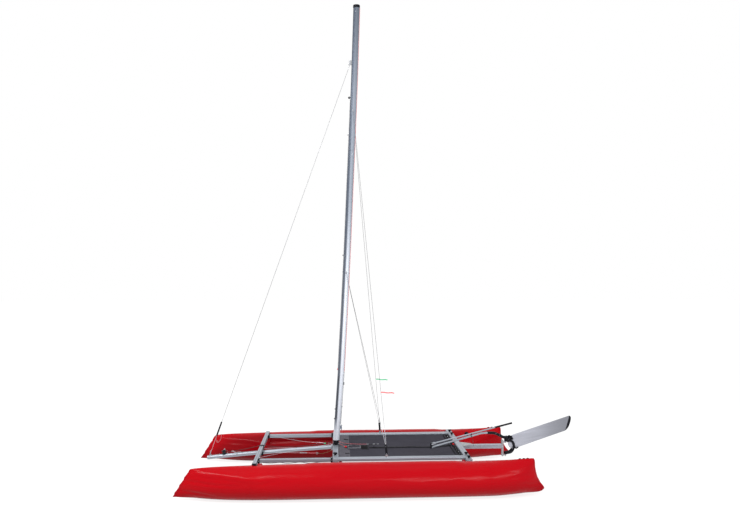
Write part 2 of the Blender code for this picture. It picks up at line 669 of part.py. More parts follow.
def rudder_head():
    """Two C-shaped cheeks joined at head and foot, with the steering pins and the blade's pin."""
    inner, outer = CHEEK_GAP, CHEEK_GAP + CHEEK_THICK
    low = (HEAD_BLOCK_X[0], -HEAD_HALF, HEAD_BLOCK_Z[0])
    high = (HEAD_BLOCK_X[1], HEAD_HALF, HEAD_BLOCK_Z[1])
    head = box("rudder_head", low, high, BLACK, STEERING)
    added = []
    for side, sign in SIDES:
        faces = sorted((sign * inner, sign * outer))
        added.append(plate("cheek_" + side, head_outline(), *faces, None, STEERING))
        x, z, radius = HEAD_EAR
        ear = arc((x, z), radius, 0, 345, 23)
        added.append(plate("ear_" + side, ear, *faces, None, STEERING))
    low = (HEAD_FOOT_X[0], -HEAD_HALF, HEAD_FOOT_Z[0])
    high = (HEAD_FOOT_X[1], HEAD_HALF, HEAD_FOOT_Z[1])
    added.append(box("head_foot", low, high, None, STEERING))
    for k, (low, high) in enumerate(STEER_PIN_Z):
        added.append(rod(f"steer_pin_{k}", (0, 0, low), (0, 0, high), PIN, None, STEERING, 20))
    x, z = BLADE_PIVOT
    reach = outer + 0.004
    ends = (x, -reach, z), (x, reach, z)
    added.append(rod("blade_pin", *ends, BLADE_PIN, None, STEERING, 20))
    for k, (x, z, radius) in enumerate(HEAD_KNOBS):
        ends = (x, outer - GAP, z), (x, HEAD_KNOB_REACH, z)
        added.append(rod(f"head_knob_{k}", *ends, radius, None, STEERING))
    lever = [(x, LEVER_Y, z) for x, z in LEVER]
    for k, ends in enumerate(zip(lever, lever[1:])):
        added.append(rod(f"lever_{k}", *ends, LEVER_RADIUS, None, STEERING))
    join(head, added)


def tiller():
    """The bent arm on the rudder head and the tiller in it, with the joint at its front end."""
    bent_tube("tiller_arm", [(x, 0, z) for x, z in ARM_LINE], ARM_RADIUS, BLACK, STEERING)
    bent_tube("tiller", [(x, 0, z) for x, z in TILLER_LINE], TILLER_RADIUS, ALUMINIUM, STEERING)
    x = EXTENSION_PIN[0]
    low = (JOINT_X[0], -JOINT_HALF, JOINT_Z[0])
    joint = box("tiller_joint", low, (JOINT_X[1], JOINT_HALF, JOINT_Z[1]), BLACK, STEERING)
    ends = (x, 0, JOINT_Z[1] - 0.01), (x, 0, SWING_PIN_TOP)
    join(joint, [rod("swing_pin", *ends, PIN, None, STEERING, 20)])


def extension():
    """The extension on its universal joint, lying on the tiller."""
    z = EXTENSION_PIN[1]
    half = KNUCKLE_HALF
    corners = (-half, -half, KNUCKLE_FOOT), (half, half, z + half)
    knuckle = box("extension_knuckle", *corners, BLACK, KNUCKLE_AXIS)
    radius, reach = LIFT_PIN
    pin = rod("lift_pin", (0, -reach, z), (0, reach, z), radius, None, KNUCKLE_AXIS, 16)
    ends = (0, 0, KNUCKLE_FOOT - 0.02), (0, 0, SWING_PIN_TOP + 0.001)
    socket = rod("swing_hole", *ends, PIN + PIN_SLACK, None, KNUCKLE_AXIS, 20)
    join(knuckle, [pin])
    join(knuckle, [socket], "DIFFERENCE")
    back, front, wide, high = FORK
    corners = (back, -wide, -high), (front, wide, high)
    fork = box("extension_fork", *corners, BLACK, EXTENSION_AXIS)
    slot_end, slot = FORK_SLOT
    corners = (slot_end, -slot, -2 * high), (3 * front, slot, 2 * high)
    cutters = [box("fork_slot", *corners, None, EXTENSION_AXIS)]
    ends = (0, -2 * wide, 0), (0, 2 * wide, 0)
    cutters.append(rod("fork_hole", *ends, radius + PIN_SLACK, None, EXTENSION_AXIS, 16))
    join(fork, cutters, "DIFFERENCE")
    grip_at = -EXTENSION_GRIP_AT
    ends = (back - GAP, 0, 0), (grip_at, 0, 0)
    rod("extension_tube", *ends, EXTENSION_RADIUS, ALUMINIUM, EXTENSION_AXIS)
    ends = (grip_at - GAP, 0, 0), (-EXTENSION_LENGTH, 0, 0)
    rod("extension_grip", *ends, GRIP_RADIUS, BLACK, EXTENSION_AXIS)


def blade():
    """The kick-up blade: an aluminium profile with a round nose, and its dark end cap."""
    nose_x, nose_z = -BLADE_NOSE[0], BLADE_NOSE[1]
    half = BLADE_CHORD / 2
    top_x, low_x = nose_x - BLADE_TOP_LENGTH, nose_x - BLADE_LOW_LENGTH
    nose = arc((nose_x, nose_z), half, -90, 90, 14)
    outline = nose + [(top_x, nose_z + half), (low_x, nose_z - half)]
    wall = BLADE_THICK / 2
    body = plate("rudder_blade", outline, -wall, wall, ALUMINIUM, BLADE_AXIS)
    hole = rod("pivot_hole", (0, -0.03, 0), (0, 0.03, 0), BLADE_PIN + PIN_SLACK, None, BLADE_AXIS, 20)
    join(body, [hole], "DIFFERENCE")
    high, low = Vector((top_x, nose_z + half)), Vector((low_x, nose_z - half))
    chord = high - low
    out = Vector((-chord.y, chord.x)).normalized()
    reach = chord.length / 2
    radius = (reach**2 + TIP_BULGE**2) / (2 * TIP_BULGE)
    middle = (high + low) / 2 + out * (TIP_BULGE - radius + GAP)
    half_turn = degrees(asin(reach / radius))
    aft = degrees(atan2(out.y, out.x))
    outline = arc(middle, radius, aft - half_turn, aft + half_turn, 12)
    plate("blade_tip", outline, -wall, wall, BLACK, BLADE_AXIS)


hulls()
frame()
bowsprit()
trampoline()
mast()
stays()
rudder_beam()
rudder_head()
tiller()
extension()
blade()
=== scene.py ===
"""Looks of the inflatable sailing catamaran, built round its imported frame.

Measures are in metres. The boat is laid out from the middle of its mast beam: X points to the
bow, Y to port and Z up. Pieces on the rudder and tiller are laid out in the frames of their
joints, each with X forward along the piece.
"""

from math import atan, ceil, cos, pi, radians, sin

import bmesh
import bpy
import numpy as np
from mathutils import Matrix, Vector


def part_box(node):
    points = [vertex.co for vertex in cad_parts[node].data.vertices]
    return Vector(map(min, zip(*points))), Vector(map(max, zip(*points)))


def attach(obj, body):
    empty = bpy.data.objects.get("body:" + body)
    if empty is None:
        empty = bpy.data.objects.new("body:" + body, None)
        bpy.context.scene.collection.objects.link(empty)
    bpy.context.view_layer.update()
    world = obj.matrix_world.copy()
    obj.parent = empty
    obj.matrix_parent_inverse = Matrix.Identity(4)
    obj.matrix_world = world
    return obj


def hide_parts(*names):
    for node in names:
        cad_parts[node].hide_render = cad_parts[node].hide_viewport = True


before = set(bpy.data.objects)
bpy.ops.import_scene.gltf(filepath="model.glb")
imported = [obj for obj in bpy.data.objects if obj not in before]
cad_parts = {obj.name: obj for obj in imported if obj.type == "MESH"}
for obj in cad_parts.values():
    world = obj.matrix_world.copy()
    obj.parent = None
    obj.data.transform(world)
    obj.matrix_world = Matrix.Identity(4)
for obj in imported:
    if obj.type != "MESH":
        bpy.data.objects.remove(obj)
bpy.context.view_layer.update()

# Frames of the bodies
BEAM_LOW, BEAM_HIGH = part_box("mast_beam")
ORIGIN_X = (BEAM_LOW.x + BEAM_HIGH.x) / 2
STEER_X = -2.297
STEER_REST = radians(24)
BLADE_PIVOT = (-0.137, 0, 0.350)
BLADE_RAISED = atan(0.155)
EXTENSION_PIN = (1.179, 0, 0.543)
EXTENSION_SLOPE = atan(0.1022)


def carriers():
    """Where each body's own layout stands at rest."""
    boat = Matrix.Translation((ORIGIN_X, 0, 0))
    steering = boat @ Matrix.Translation((STEER_X, 0, 0)) @ Matrix.Rotation(STEER_REST, 4, "Z")
    blade = steering @ Matrix.Translation(BLADE_PIVOT) @ Matrix.Rotation(BLADE_RAISED, 4, "Y")
    knuckle = steering @ Matrix.Translation(EXTENSION_PIN)
    extension = knuckle @ Matrix.Rotation(EXTENSION_SLOPE, 4, "Y")
    return {
        "boat": boat,
        "steering": steering,
        "blade": blade,
        "knuckle": knuckle,
        "extension": extension,
    }


PLACES = carriers()
SIDES = (("port", 1), ("starboard", -1))

# Camera
EYE = Vector((0.0041, 8.7689, 2.6896))
YAW, PITCH, ROLL = -0.0529, 0.0281, 0.0004
FOCAL_PIXELS = 650
IMAGE_WIDTH = 740
SENSOR = 36


def camera():
    """A camera at the photograph's place."""
    look = Vector((sin(YAW), -cos(YAW) * cos(PITCH), sin(PITCH))).normalized()
    side = look.cross((0, 0, 1)).normalized()
    up = side.cross(look)
    right = cos(ROLL) * side + sin(ROLL) * up
    top = cos(ROLL) * up - sin(ROLL) * side
    data = bpy.data.cameras.new("camera")
    data.sensor_width = SENSOR
    data.lens = SENSOR * FOCAL_PIXELS / IMAGE_WIDTH
    data.clip_end = 200
    holder = bpy.data.objects.new("camera", data)
    turn = Matrix((right, top, -look)).transposed().to_4x4()
    holder.matrix_world = Matrix.Translation(EYE + Vector((ORIGIN_X, 0, 0))) @ turn
    bpy.context.scene.collection.objects.link(holder)
    bpy.context.scene.camera = holder


camera()


class Signal:
    """A value between a material's nodes, written in sums like a number."""

    def __init__(self, finish, socket):
        self.finish = finish
        self.socket = socket

    def math(self, operation, *values, clamp=False):
        settings = {"operation": operation, "use_clamp": clamp}
        return self.finish.node("Math", settings, dict(enumerate(values)))

    def __add__(self, other):
        return self.math("ADD", self, other)

    __radd__ = __add__

    def __sub__(self, other):
        return self.math("SUBTRACT", self, other)

    def __rsub__(self, other):
        return self.math("SUBTRACT", other, self)

    def __mul__(self, other):
        return self.math("MULTIPLY", self, other)

    __rmul__ = __mul__

    def __truediv__(self, other):
        return self.math("DIVIDE", self, other)

    def __pow__(self, other):
        return self.math("POWER", self, other)

    def __abs__(self):
        return self.math("ABSOLUTE", self)

    def sine(self):
        return self.math("SINE", self)

    def clamped(self):
        return self.math("ADD", self, 0.0, clamp=True)


class Finish:
    """One material: its nodes and the surface that they feed."""

    def __init__(self, name, colour, roughness, metallic=0.0, **steady):
        self.material = bpy.data.materials.new(name)
        self.material.use_nodes = True
        self.tree = self.material.node_tree
        self.surface = self.tree.nodes["Principled BSDF"]
        self.feed("Base Color", colour)
        self.feed("Roughness", roughness)
        self.feed("Metallic", metallic)
        for socket, value in steady.items():
            self.feed(socket.replace("_", " "), value)
        self.place = self.node("TexCoord", out="Object")

    def plug(self, socket, value):
        if isinstance(value, Signal):
            self.tree.links.new(value.socket, socket)
        elif hasattr(value, "__len__") and len(value) == 3 and socket.type == "RGBA":
            socket.default_value = (*value, 1)
        else:
            socket.default_value = value

    def feed(self, socket, value):
        self.plug(self.surface.inputs[socket], value)

    def node(self, kind, settings=None, sockets=None, out=0):
        """Any node, its settings set first and then its sockets; gives one of its outputs."""
        made = self.tree.nodes.new("ShaderNode" + kind)
        for name, value in (settings or {}).items():
            if name == "stops":
                ramp = made.color_ramp
                while len(ramp.elements) < len(value):
                    ramp.elements.new(0.5)
                for stop, (at, shade) in zip(ramp.elements, value):
                    stop.position = at
                    stop.color = (*shade, 1) if hasattr(shade, "__len__") else (shade,) * 3 + (1,)
            else:
                setattr(made, name, value)
        for name, value in (sockets or {}).items():
            self.plug(made.inputs[name], value)
        return Signal(self, made.outputs[out])

    def noise(self, scale, detail=3.0, at=None, rough=0.55):
        sockets = {"Vector": at or self.place, "Scale": scale, "Detail": detail, "Roughness": rough}
        return self.node("TexNoise", None, sockets)

    def stretched(self, squeeze):
        """Places scaled by squeeze on each axis, for streaks."""
        return self.node("VectorMath", {"operation": "MULTIPLY"}, {0: self.place, 1: squeeze})

    def along(self, direction, squeeze):
        """Places drawn together along a direction, for streaks that run along it."""
        length = self.node("VectorMath", {"operation": "DOT_PRODUCT"}, {0: self.place, 1: direction}, 1)
        step = self.node(
            "VectorMath",
            {"operation": "SCALE"},
            {0: tuple(direction), "Scale": length * (1 - squeeze)},
        )
        return self.node("VectorMath", {"operation": "SUBTRACT"}, {0: self.place, 1: step})

    def parts(self, vector=None):
        """X, Y and Z of a vector."""
        split = self.node("SeparateXYZ", None, {0: vector or self.place}).socket.node
        return [Signal(self, split.outputs[k]) for k in range(3)]

    def wrap(self):
        """Turn round a tube, in radians, and the way along it, in metres."""
        source = self.node("Attribute", {"attribute_name": "wrap"}, out="Vector")
        across, up, along = self.parts(source)
        return self.node("Math", {"operation": "ARCTAN2"}, {0: up, 1: across}), along

    def mix(self, share, first, second, blend="MIX"):
        settings = {"data_type": "RGBA", "blend_type": blend}
        return self.node("Mix", settings, {0: share, 6: first, 7: second}, 2)

    def ramp(self, value, low, high, start_at=0.0, end_at=1.0):
        """A smooth step from low to high."""
        settings = {"interpolation_type": "SMOOTHSTEP"}
        sockets = {"Value": value, "From Min": low, "From Max": high, "To Min": start_at, "To Max": end_at}
        return self.node("MapRange", settings, sockets)

    def bump(self, height, depth, strength=1.0, after=None):
        sockets = {"Height": height, "Distance": depth, "Strength": strength}
        if after:
            sockets["Normal"] = after
        return self.node("Bump", None, sockets)


def coated_fabric(name, colour, faded):
    """Coated hull fabric: fine cloth under the coat, broad waves, dust, and painted shade low down and on the hulls'
    inner sides.
    """
    f = Finish(name, colour, 0.3, IOR=1.17)
    broad = f.noise(1.7, 3)
    mottle = f.noise(35, 4)
    x, y, z = f.parts()
    scuff = f.noise(8, 6, f.stretched((1, 6, 6)))
    dust = f.ramp(scuff, 0.55, 0.78, 0, 0.35)
    tint = f.mix(broad * 0.7 + mottle * 0.3, colour, faded)
    # Painted shade: the fabric darkens towards the bottom of the hull.
    low = f.ramp(z, 0.24, 0.0, 0, 0.50)
    # Painted shade: the hulls' inner sides are darkened, much less of it near the sterns.
    inner = f.ramp(abs(y), HULL_Y, HULL_Y - 0.13, 0, 0.75)
    inner = inner * f.ramp(x, ORIGIN_X - 2.0, ORIGIN_X - 1.5, 0.2, 1)
    f.feed("Base Color", f.mix((dust * 0.20 + low + inner).clamped(), tint, tuple(0.45 * c for c in faded)))
    f.feed("Roughness", 0.17 + 0.08 * mottle + 0.12 * dust)
    waves = f.noise(3.2, 2, f.stretched((0.55, 1.3, 1.6)))
    creases = f.noise(14, 5, f.stretched((0.6, 1.5, 1.5)))
    cloth = (x * 2600).sine() * (z * 2600).sine()
    first = f.bump(waves, 0.035, 0.5)
    second = f.bump(creases, 0.004, 0.5, first)
    f.feed("Normal", f.bump(cloth, 0.00012, 0.25, second))
    return f.material


def brushed_aluminium(name, direction, colour, roughness=0.40, shine=0.60, fade=None):
    """Anodised profile: die lines along it, faint cloudiness, small marks, and painted shade that darkens it aft over
    the X span in fade.
    """
    f = Finish(name, colour, roughness, shine)
    along = f.along(direction, 0.012)
    drawn = f.noise(260, 5, along, 0.7)
    broad = f.noise(28, 3, f.along(direction, 0.05))
    cloud = f.noise(4, 3)
    marks = f.ramp(f.noise(90, 6), 0.66, 0.78)
    shade = (drawn * 0.55 + broad * 0.3 + cloud * 0.15)
    darker, lighter = tuple(0.80 * c for c in colour), tuple(min(1, 1.14 * c) for c in colour)
    tint = f.mix(f.ramp(shade, 0.30, 0.70), darker, lighter)
    # Painted shade: darker towards the aft end, between the two X values in fade.
    if fade:
        tint = f.mix(f.ramp(f.parts()[0], *fade), tint, tuple(0.52 * c for c in colour))
    f.feed("Base Color", f.mix(marks * 0.3, tint, tuple(0.6 * c for c in colour)))
    f.feed("Roughness", roughness - 0.06 + 0.14 * drawn + 0.12 * marks)
    f.feed("Normal", f.bump(drawn * 0.5 + broad, 0.0003, 0.35))
    return f.material


def moulded_nylon(name, colour, roughness=0.42):
    """Black moulded plastic: fine grain, worn and dusty patches."""
    f = Finish(name, colour, roughness, Specular_IOR_Level=0.10)
    grain = f.noise(900, 2)
    worn = f.ramp(f.noise(55, 5), 0.52, 0.72)
    lighter = tuple(min(1, 1.5 * c + 0.003) for c in colour)
    f.feed("Base Color", f.mix(worn * 0.4, colour, lighter))
    f.feed("Roughness", roughness + 0.12 * worn + 0.08 * grain)
    f.feed("Normal", f.bump(grain + 0.4 * f.noise(120, 3), 0.00025, 0.4))
    return f.material


def mesh_cloth(name, colour, lighter, pitch=0.0032):
    """Woven coated mesh: threads over and under, faint bands and dust."""
    f = Finish(name, colour, 0.8, Specular_IOR_Level=0.03)
    x, y, z = f.parts()
    turn = 2 * pi / pitch
    warp, weft = (x * turn).sine(), (y * turn).sine()
    over = warp * weft
    threads = abs((x * turn / 2).sine()) * 0.5 + abs((y * turn / 2).sine()) * 0.5
    cloud = f.noise(5, 4)
    bands = f.noise(30, 3, f.stretched((0.15, 3, 1)))
    share = f.ramp(0.45 * threads + 0.15 * over + 0.35 * cloud + 0.25 * bands, 0.25, 0.95)
    f.feed("Base Color", f.mix(share, colour, lighter))
    f.feed("Roughness", 0.70 + 0.2 * cloud)
    sag = f.bump(f.noise(7, 3, f.stretched((1, 0.6, 1))), 0.010, 0.5)
    f.feed("Normal", f.bump(over * 0.5 + threads, 0.0006, 0.5, sag))
    return f.material


def webbing(name, colour, lighter, pitch=0.0021):
    """Ribbed strap webbing."""
    f = Finish(name, colour, 0.82, Specular_IOR_Level=0.05)
    x, y, z = f.parts()
    turn = 2 * pi / pitch
    ribs = (x * turn + (y * turn * 0.5).sine()).sine() + (y * turn).sine() * (z * turn).sine()
    fray = f.noise(300, 4)
    f.feed("Base Color", f.mix(f.ramp(ribs * 0.3 + fray, 0.2, 1.0), colour, lighter))
    f.feed("Roughness", 0.72 + 0.2 * fray)
    f.feed("Normal", f.bump(ribs + fray, 0.0004, 0.5))
    return f.material


def braided_line(name, colour, fleck, strands=8, lay=900.0):
    """Braided or laid line, from the turn round it and the way along it."""
    f = Finish(name, colour, 0.62, Specular_IOR_Level=0.2)
    turn, along = f.wrap()
    left = (turn * strands + along * lay).sine()
    right = (turn * strands - along * lay).sine()
    braid = left * right
    fuzz = f.noise(500, 3)
    f.feed("Base Color", f.mix(f.ramp(braid + fuzz * 0.5, -0.2, 0.9), colour, fleck))
    f.feed("Roughness", 0.55 + 0.2 * fuzz)
    f.feed("Normal", f.bump(braid, 0.0004, 0.5))
    return f.material


def steel(name, colour, roughness=0.26, strands=0):
    """Stainless steel, brushed, or laid up in strands for wire, with a painted shine near the deck."""
    f = Finish(name, colour, roughness, 1.0)
    scratch = f.noise(220, 6, f.stretched((1, 1, 0.15)), 0.7)
    spots = f.ramp(f.noise(60, 5), 0.60, 0.75)
    # Painted shine: wire low down, from 0.86 m to 0.76 m and below, is made five and a half times lighter.
    painted_shine = tuple(5.5 * c for c in colour)
    tint = f.mix(f.ramp(f.parts()[2], 0.86, 0.76), colour, painted_shine) if strands else colour
    f.feed("Base Color", f.mix(spots * 0.4, tint, tuple(0.62 * c for c in colour)))
    f.feed("Roughness", roughness + 0.14 * scratch + 0.1 * spots)
    height = scratch
    if strands:
        turn, along = f.wrap()
        height = scratch * 0.3 + (turn * strands + along * 350).sine()
    f.feed("Normal", f.bump(height, 0.0003, 0.4))
    return f.material


def mast_coating():
    """Blue-grey anodised mast: die lines from foot to head, painted shade in front and near the head, painted light low
    down.
    """
    f = Finish("mast blue-grey anodising", (0.30, 0.34, 0.38), 0.38, 0.35, Specular_IOR_Level=0.3)
    drawn = f.noise(240, 5, f.along((0.047, 0, -1), 0.006), 0.7)
    cloud = f.noise(1.6, 4, f.stretched((1, 1, 0.5)))
    rubbed = f.ramp(f.noise(26, 6, f.stretched((2, 2, 0.25))), 0.56, 0.74)
    height = f.parts()[2]
    ahead = f.parts(f.node("TexCoord", out="Normal"))[0]
    # Painted light and shade: darker towards the head, paler low down.
    tint = f.mix(f.ramp(height, 6.6, 4.6), (0.100, 0.118, 0.150), (0.250, 0.282, 0.335))
    tint = f.mix(f.ramp(height, 3.9, 2.2), tint, (0.56, 0.59, 0.65))
    tint = f.mix(f.ramp(drawn * 0.6 + cloud * 0.4, 0.3, 0.7, 0, 0.12), tint, (0.20, 0.23, 0.28))
    # Painted shade: faces turned forward are darkened, only a little below 0.6 m.
    front = f.ramp(ahead, 0.02, 0.26, 0, 0.90) * f.ramp(height, 0.58, 0.80, 0.15, 1)
    tint = f.mix(front, tint, (0.035, 0.045, 0.066))
    f.feed("Base Color", f.mix(rubbed * 0.08, tint, (0.40, 0.43, 0.46)))
    f.feed("Roughness", 0.33 + 0.15 * drawn + 0.1 * rubbed)
    f.feed("Normal", f.bump(drawn + 0.5 * cloud, 0.00025, 0.35))
    return f.material


RED = (0.365, 0.0001, 0.0022)
RED_FADED = (0.31, 0.0003, 0.005)
SILVER = (0.300, 0.328, 0.372)
ALONG_X, ALONG_Y, ALONG_Z = (1, 0, 0), (0, 1, 0), (0, 0, 1)
TILLER_WAY = (cos(STEER_REST), sin(STEER_REST), 0)

HULL_Y = 0.827
HULL = coated_fabric("red coated hull fabric", RED, RED_FADED)
HULL_TAPE = coated_fabric("red seam tape", (0.33, 0.0004, 0.004), (0.27, 0.0006, 0.007))
ALU_X = brushed_aluminium("aluminium drawn along the boat", ALONG_X, SILVER)
ALU_Y = brushed_aluminium("aluminium drawn across the boat", ALONG_Y, SILVER)
ALU_Z = brushed_aluminium("aluminium drawn upright", ALONG_Z, (0.30, 0.30, 0.315))
ALU_TILLER = brushed_aluminium("aluminium drawn along the tiller", TILLER_WAY, SILVER)
BLADE_PAINTED_SHADE = ORIGIN_X - 2.55, ORIGIN_X - 3.35
ALU_BLADE = brushed_aluminium("blade aluminium", TILLER_WAY, (0.40, 0.41, 0.465), 0.42, 0.55, BLADE_PAINTED_SHADE)
MAST = mast_coating()
NYLON = moulded_nylon("black nylon", (0.005, 0.005, 0.008))
RUBBER = moulded_nylon("black foam grip", (0.007, 0.007, 0.009), 0.75)
RED_NYLON = moulded_nylon("red plastic", (0.55, 0.01, 0.012))
GREEN_NYLON = moulded_nylon("green plastic", (0.0, 0.30, 0.12))
BLUE_NYLON = moulded_nylon("blue plastic", (0.02, 0.04, 0.45))
CLOTH = mesh_cloth("trampoline mesh", (0.026, 0.025, 0.032), (0.052, 0.050, 0.064))
CLOTH_PALE = mesh_cloth("pale reinforcing cloth", (0.052, 0.050, 0.060), (0.115, 0.110, 0.128), 0.0022)
WEB = webbing("black webbing", (0.004, 0.004, 0.005), (0.012, 0.012, 0.014))
WEB_GREY = webbing("grey piping", (0.20, 0.20, 0.22), (0.34, 0.34, 0.37))
THREAD = webbing("grey thread", (0.10, 0.10, 0.11), (0.25, 0.25, 0.27))
STEEL = steel("stainless steel", (0.40, 0.41, 0.43))
WIRE = steel("stainless wire", (0.10, 0.10, 0.11), 0.32, 6)
LINE_BLACK = braided_line("black line", (0.012, 0.012, 0.014), (0.05, 0.05, 0.055))
LINE_RED = braided_line("red line", (0.45, 0.015, 0.03), (0.75, 0.35, 0.38))
LINE_GREEN = braided_line("green line", (0.03, 0.12, 0.05), (0.12, 0.22, 0.12))
LINE_GREY = braided_line("grey line", (0.20, 0.20, 0.21), (0.42, 0.42, 0.44))
TALE_GREEN = braided_line("green telltale yarn", (0.0, 0.35, 0.12), (0.1, 0.6, 0.3))
TALE_RED = braided_line("red telltale yarn", (0.6, 0.01, 0.03), (0.8, 0.2, 0.2))
STAR = webbing("gusset cloth", (0.27, 0.28, 0.29), (0.40, 0.41, 0.42))


def smooth_table(at, rows, wanted):
    """Rows of a table between its own places, on smooth curves that don't overshoot."""
    at, rows, wanted = (np.asarray(value, float) for value in (at, rows, wanted))
    step = np.diff(at)[:, None]
    slope = np.diff(rows, axis=0) / step
    tangent = np.zeros_like(rows)
    both = slope[:-1] * slope[1:]
    total = slope[:-1] + slope[1:]
    tangent[1:-1] = np.where(both > 0, 2 * both / np.where(both > 0, total, 1), 0)
    tangent[0], tangent[-1] = slope[0], slope[-1]
    k = np.clip(np.searchsorted(at, wanted) - 1, 0, len(at) - 2)
    t = ((wanted - at[k]) / step[k, 0])[:, None]
    bend = step[k] * ((t**3 - 2 * t**2 + t) * tangent[k] + (t**3 - t**2) * tangent[k + 1])
    return (2 * t**3 - 3 * t**2 + 1) * rows[k] + (3 * t**2 - 2 * t**3) * rows[k + 1] + bend


def spline(points, spacing=0.01, closed=False):
    """Points on a smooth curve through a few."""
    points = np.asarray(points, float)
    if len(points) < 3 and not closed:
        count = max(2, ceil(np.linalg.norm(points[1] - points[0]) / spacing))
        return np.linspace(points[0], points[1], count + 1)
    if closed:
        padded = np.vstack([points[-1], points, points[:2]])
    else:
        padded = np.vstack([2 * points[0] - points[1], points, 2 * points[-1] - points[-2]])
    found = []
    for before, first, second, after in zip(padded, padded[1:], padded[2:], padded[3:]):
        count = max(1, ceil(np.linalg.norm(second - first) / spacing))
        for t in np.arange(count) / count:
            found.append(0.5 * (
                2 * first
                + (second - before) * t
                + (2 * before - 5 * first + 4 * second - after) * t**2
                + (3 * first - before - 3 * second + after) * t**3
            ))
    if not closed:
        found.append(points[-1])
    return np.array(found)


def circle(radius, sides=16):
    turn = 2 * pi * np.arange(sides) / sides
    return np.stack([radius * np.cos(turn), radius * np.sin(turn)], axis=1)


def rounded(width, height, radius, steps=3):
    """A rectangle with round corners."""
    found = []
    for k, (sx, sy) in enumerate(((1, 1), (-1, 1), (-1, -1), (1, -1))):
        middle = sx * (width / 2 - radius), sy * (height / 2 - radius)
        for step in range(steps + 1):
            angle = pi / 2 * (k + step / steps)
            found.append((middle[0] + radius * cos(angle), middle[1] + radius * sin(angle)))
    return np.array(found)


def extruded(width, height, radius, slots=()):
    """An extruded bar's outline; a slot has its side, its place along it, half width and depth."""
    found = []
    for side in range(4):
        angle = side * pi / 2
        out = np.array([cos(angle), sin(angle)])
        along = np.array([-sin(angle), cos(angle)])
        half, reach = (width / 2, height / 2) if side % 2 == 0 else (height / 2, width / 2)
        for _, at, half_slot, depth in sorted(slot for slot in slots if slot[0] == side):
            for step, down in ((-half_slot, 0), (-half_slot, depth), (half_slot, depth), (half_slot, 0)):
                found.append(out * (half - down) + along * (at + step))
        corner = out * (half - radius) + along * (reach - radius)
        for turn in np.linspace(0, pi / 2, 4):
            found.append(corner + radius * (out * cos(turn) + along * sin(turn)))
    return np.array(found)


def aim(place, axis=(0, 0, 1), turn=0.0):
    """A layout with its Z along axis."""
    tilt = Vector(axis).to_track_quat("Z", "Y").to_matrix().to_4x4()
    return Matrix.Translation(place) @ tilt @ Matrix.Rotation(turn, 4, "Z")


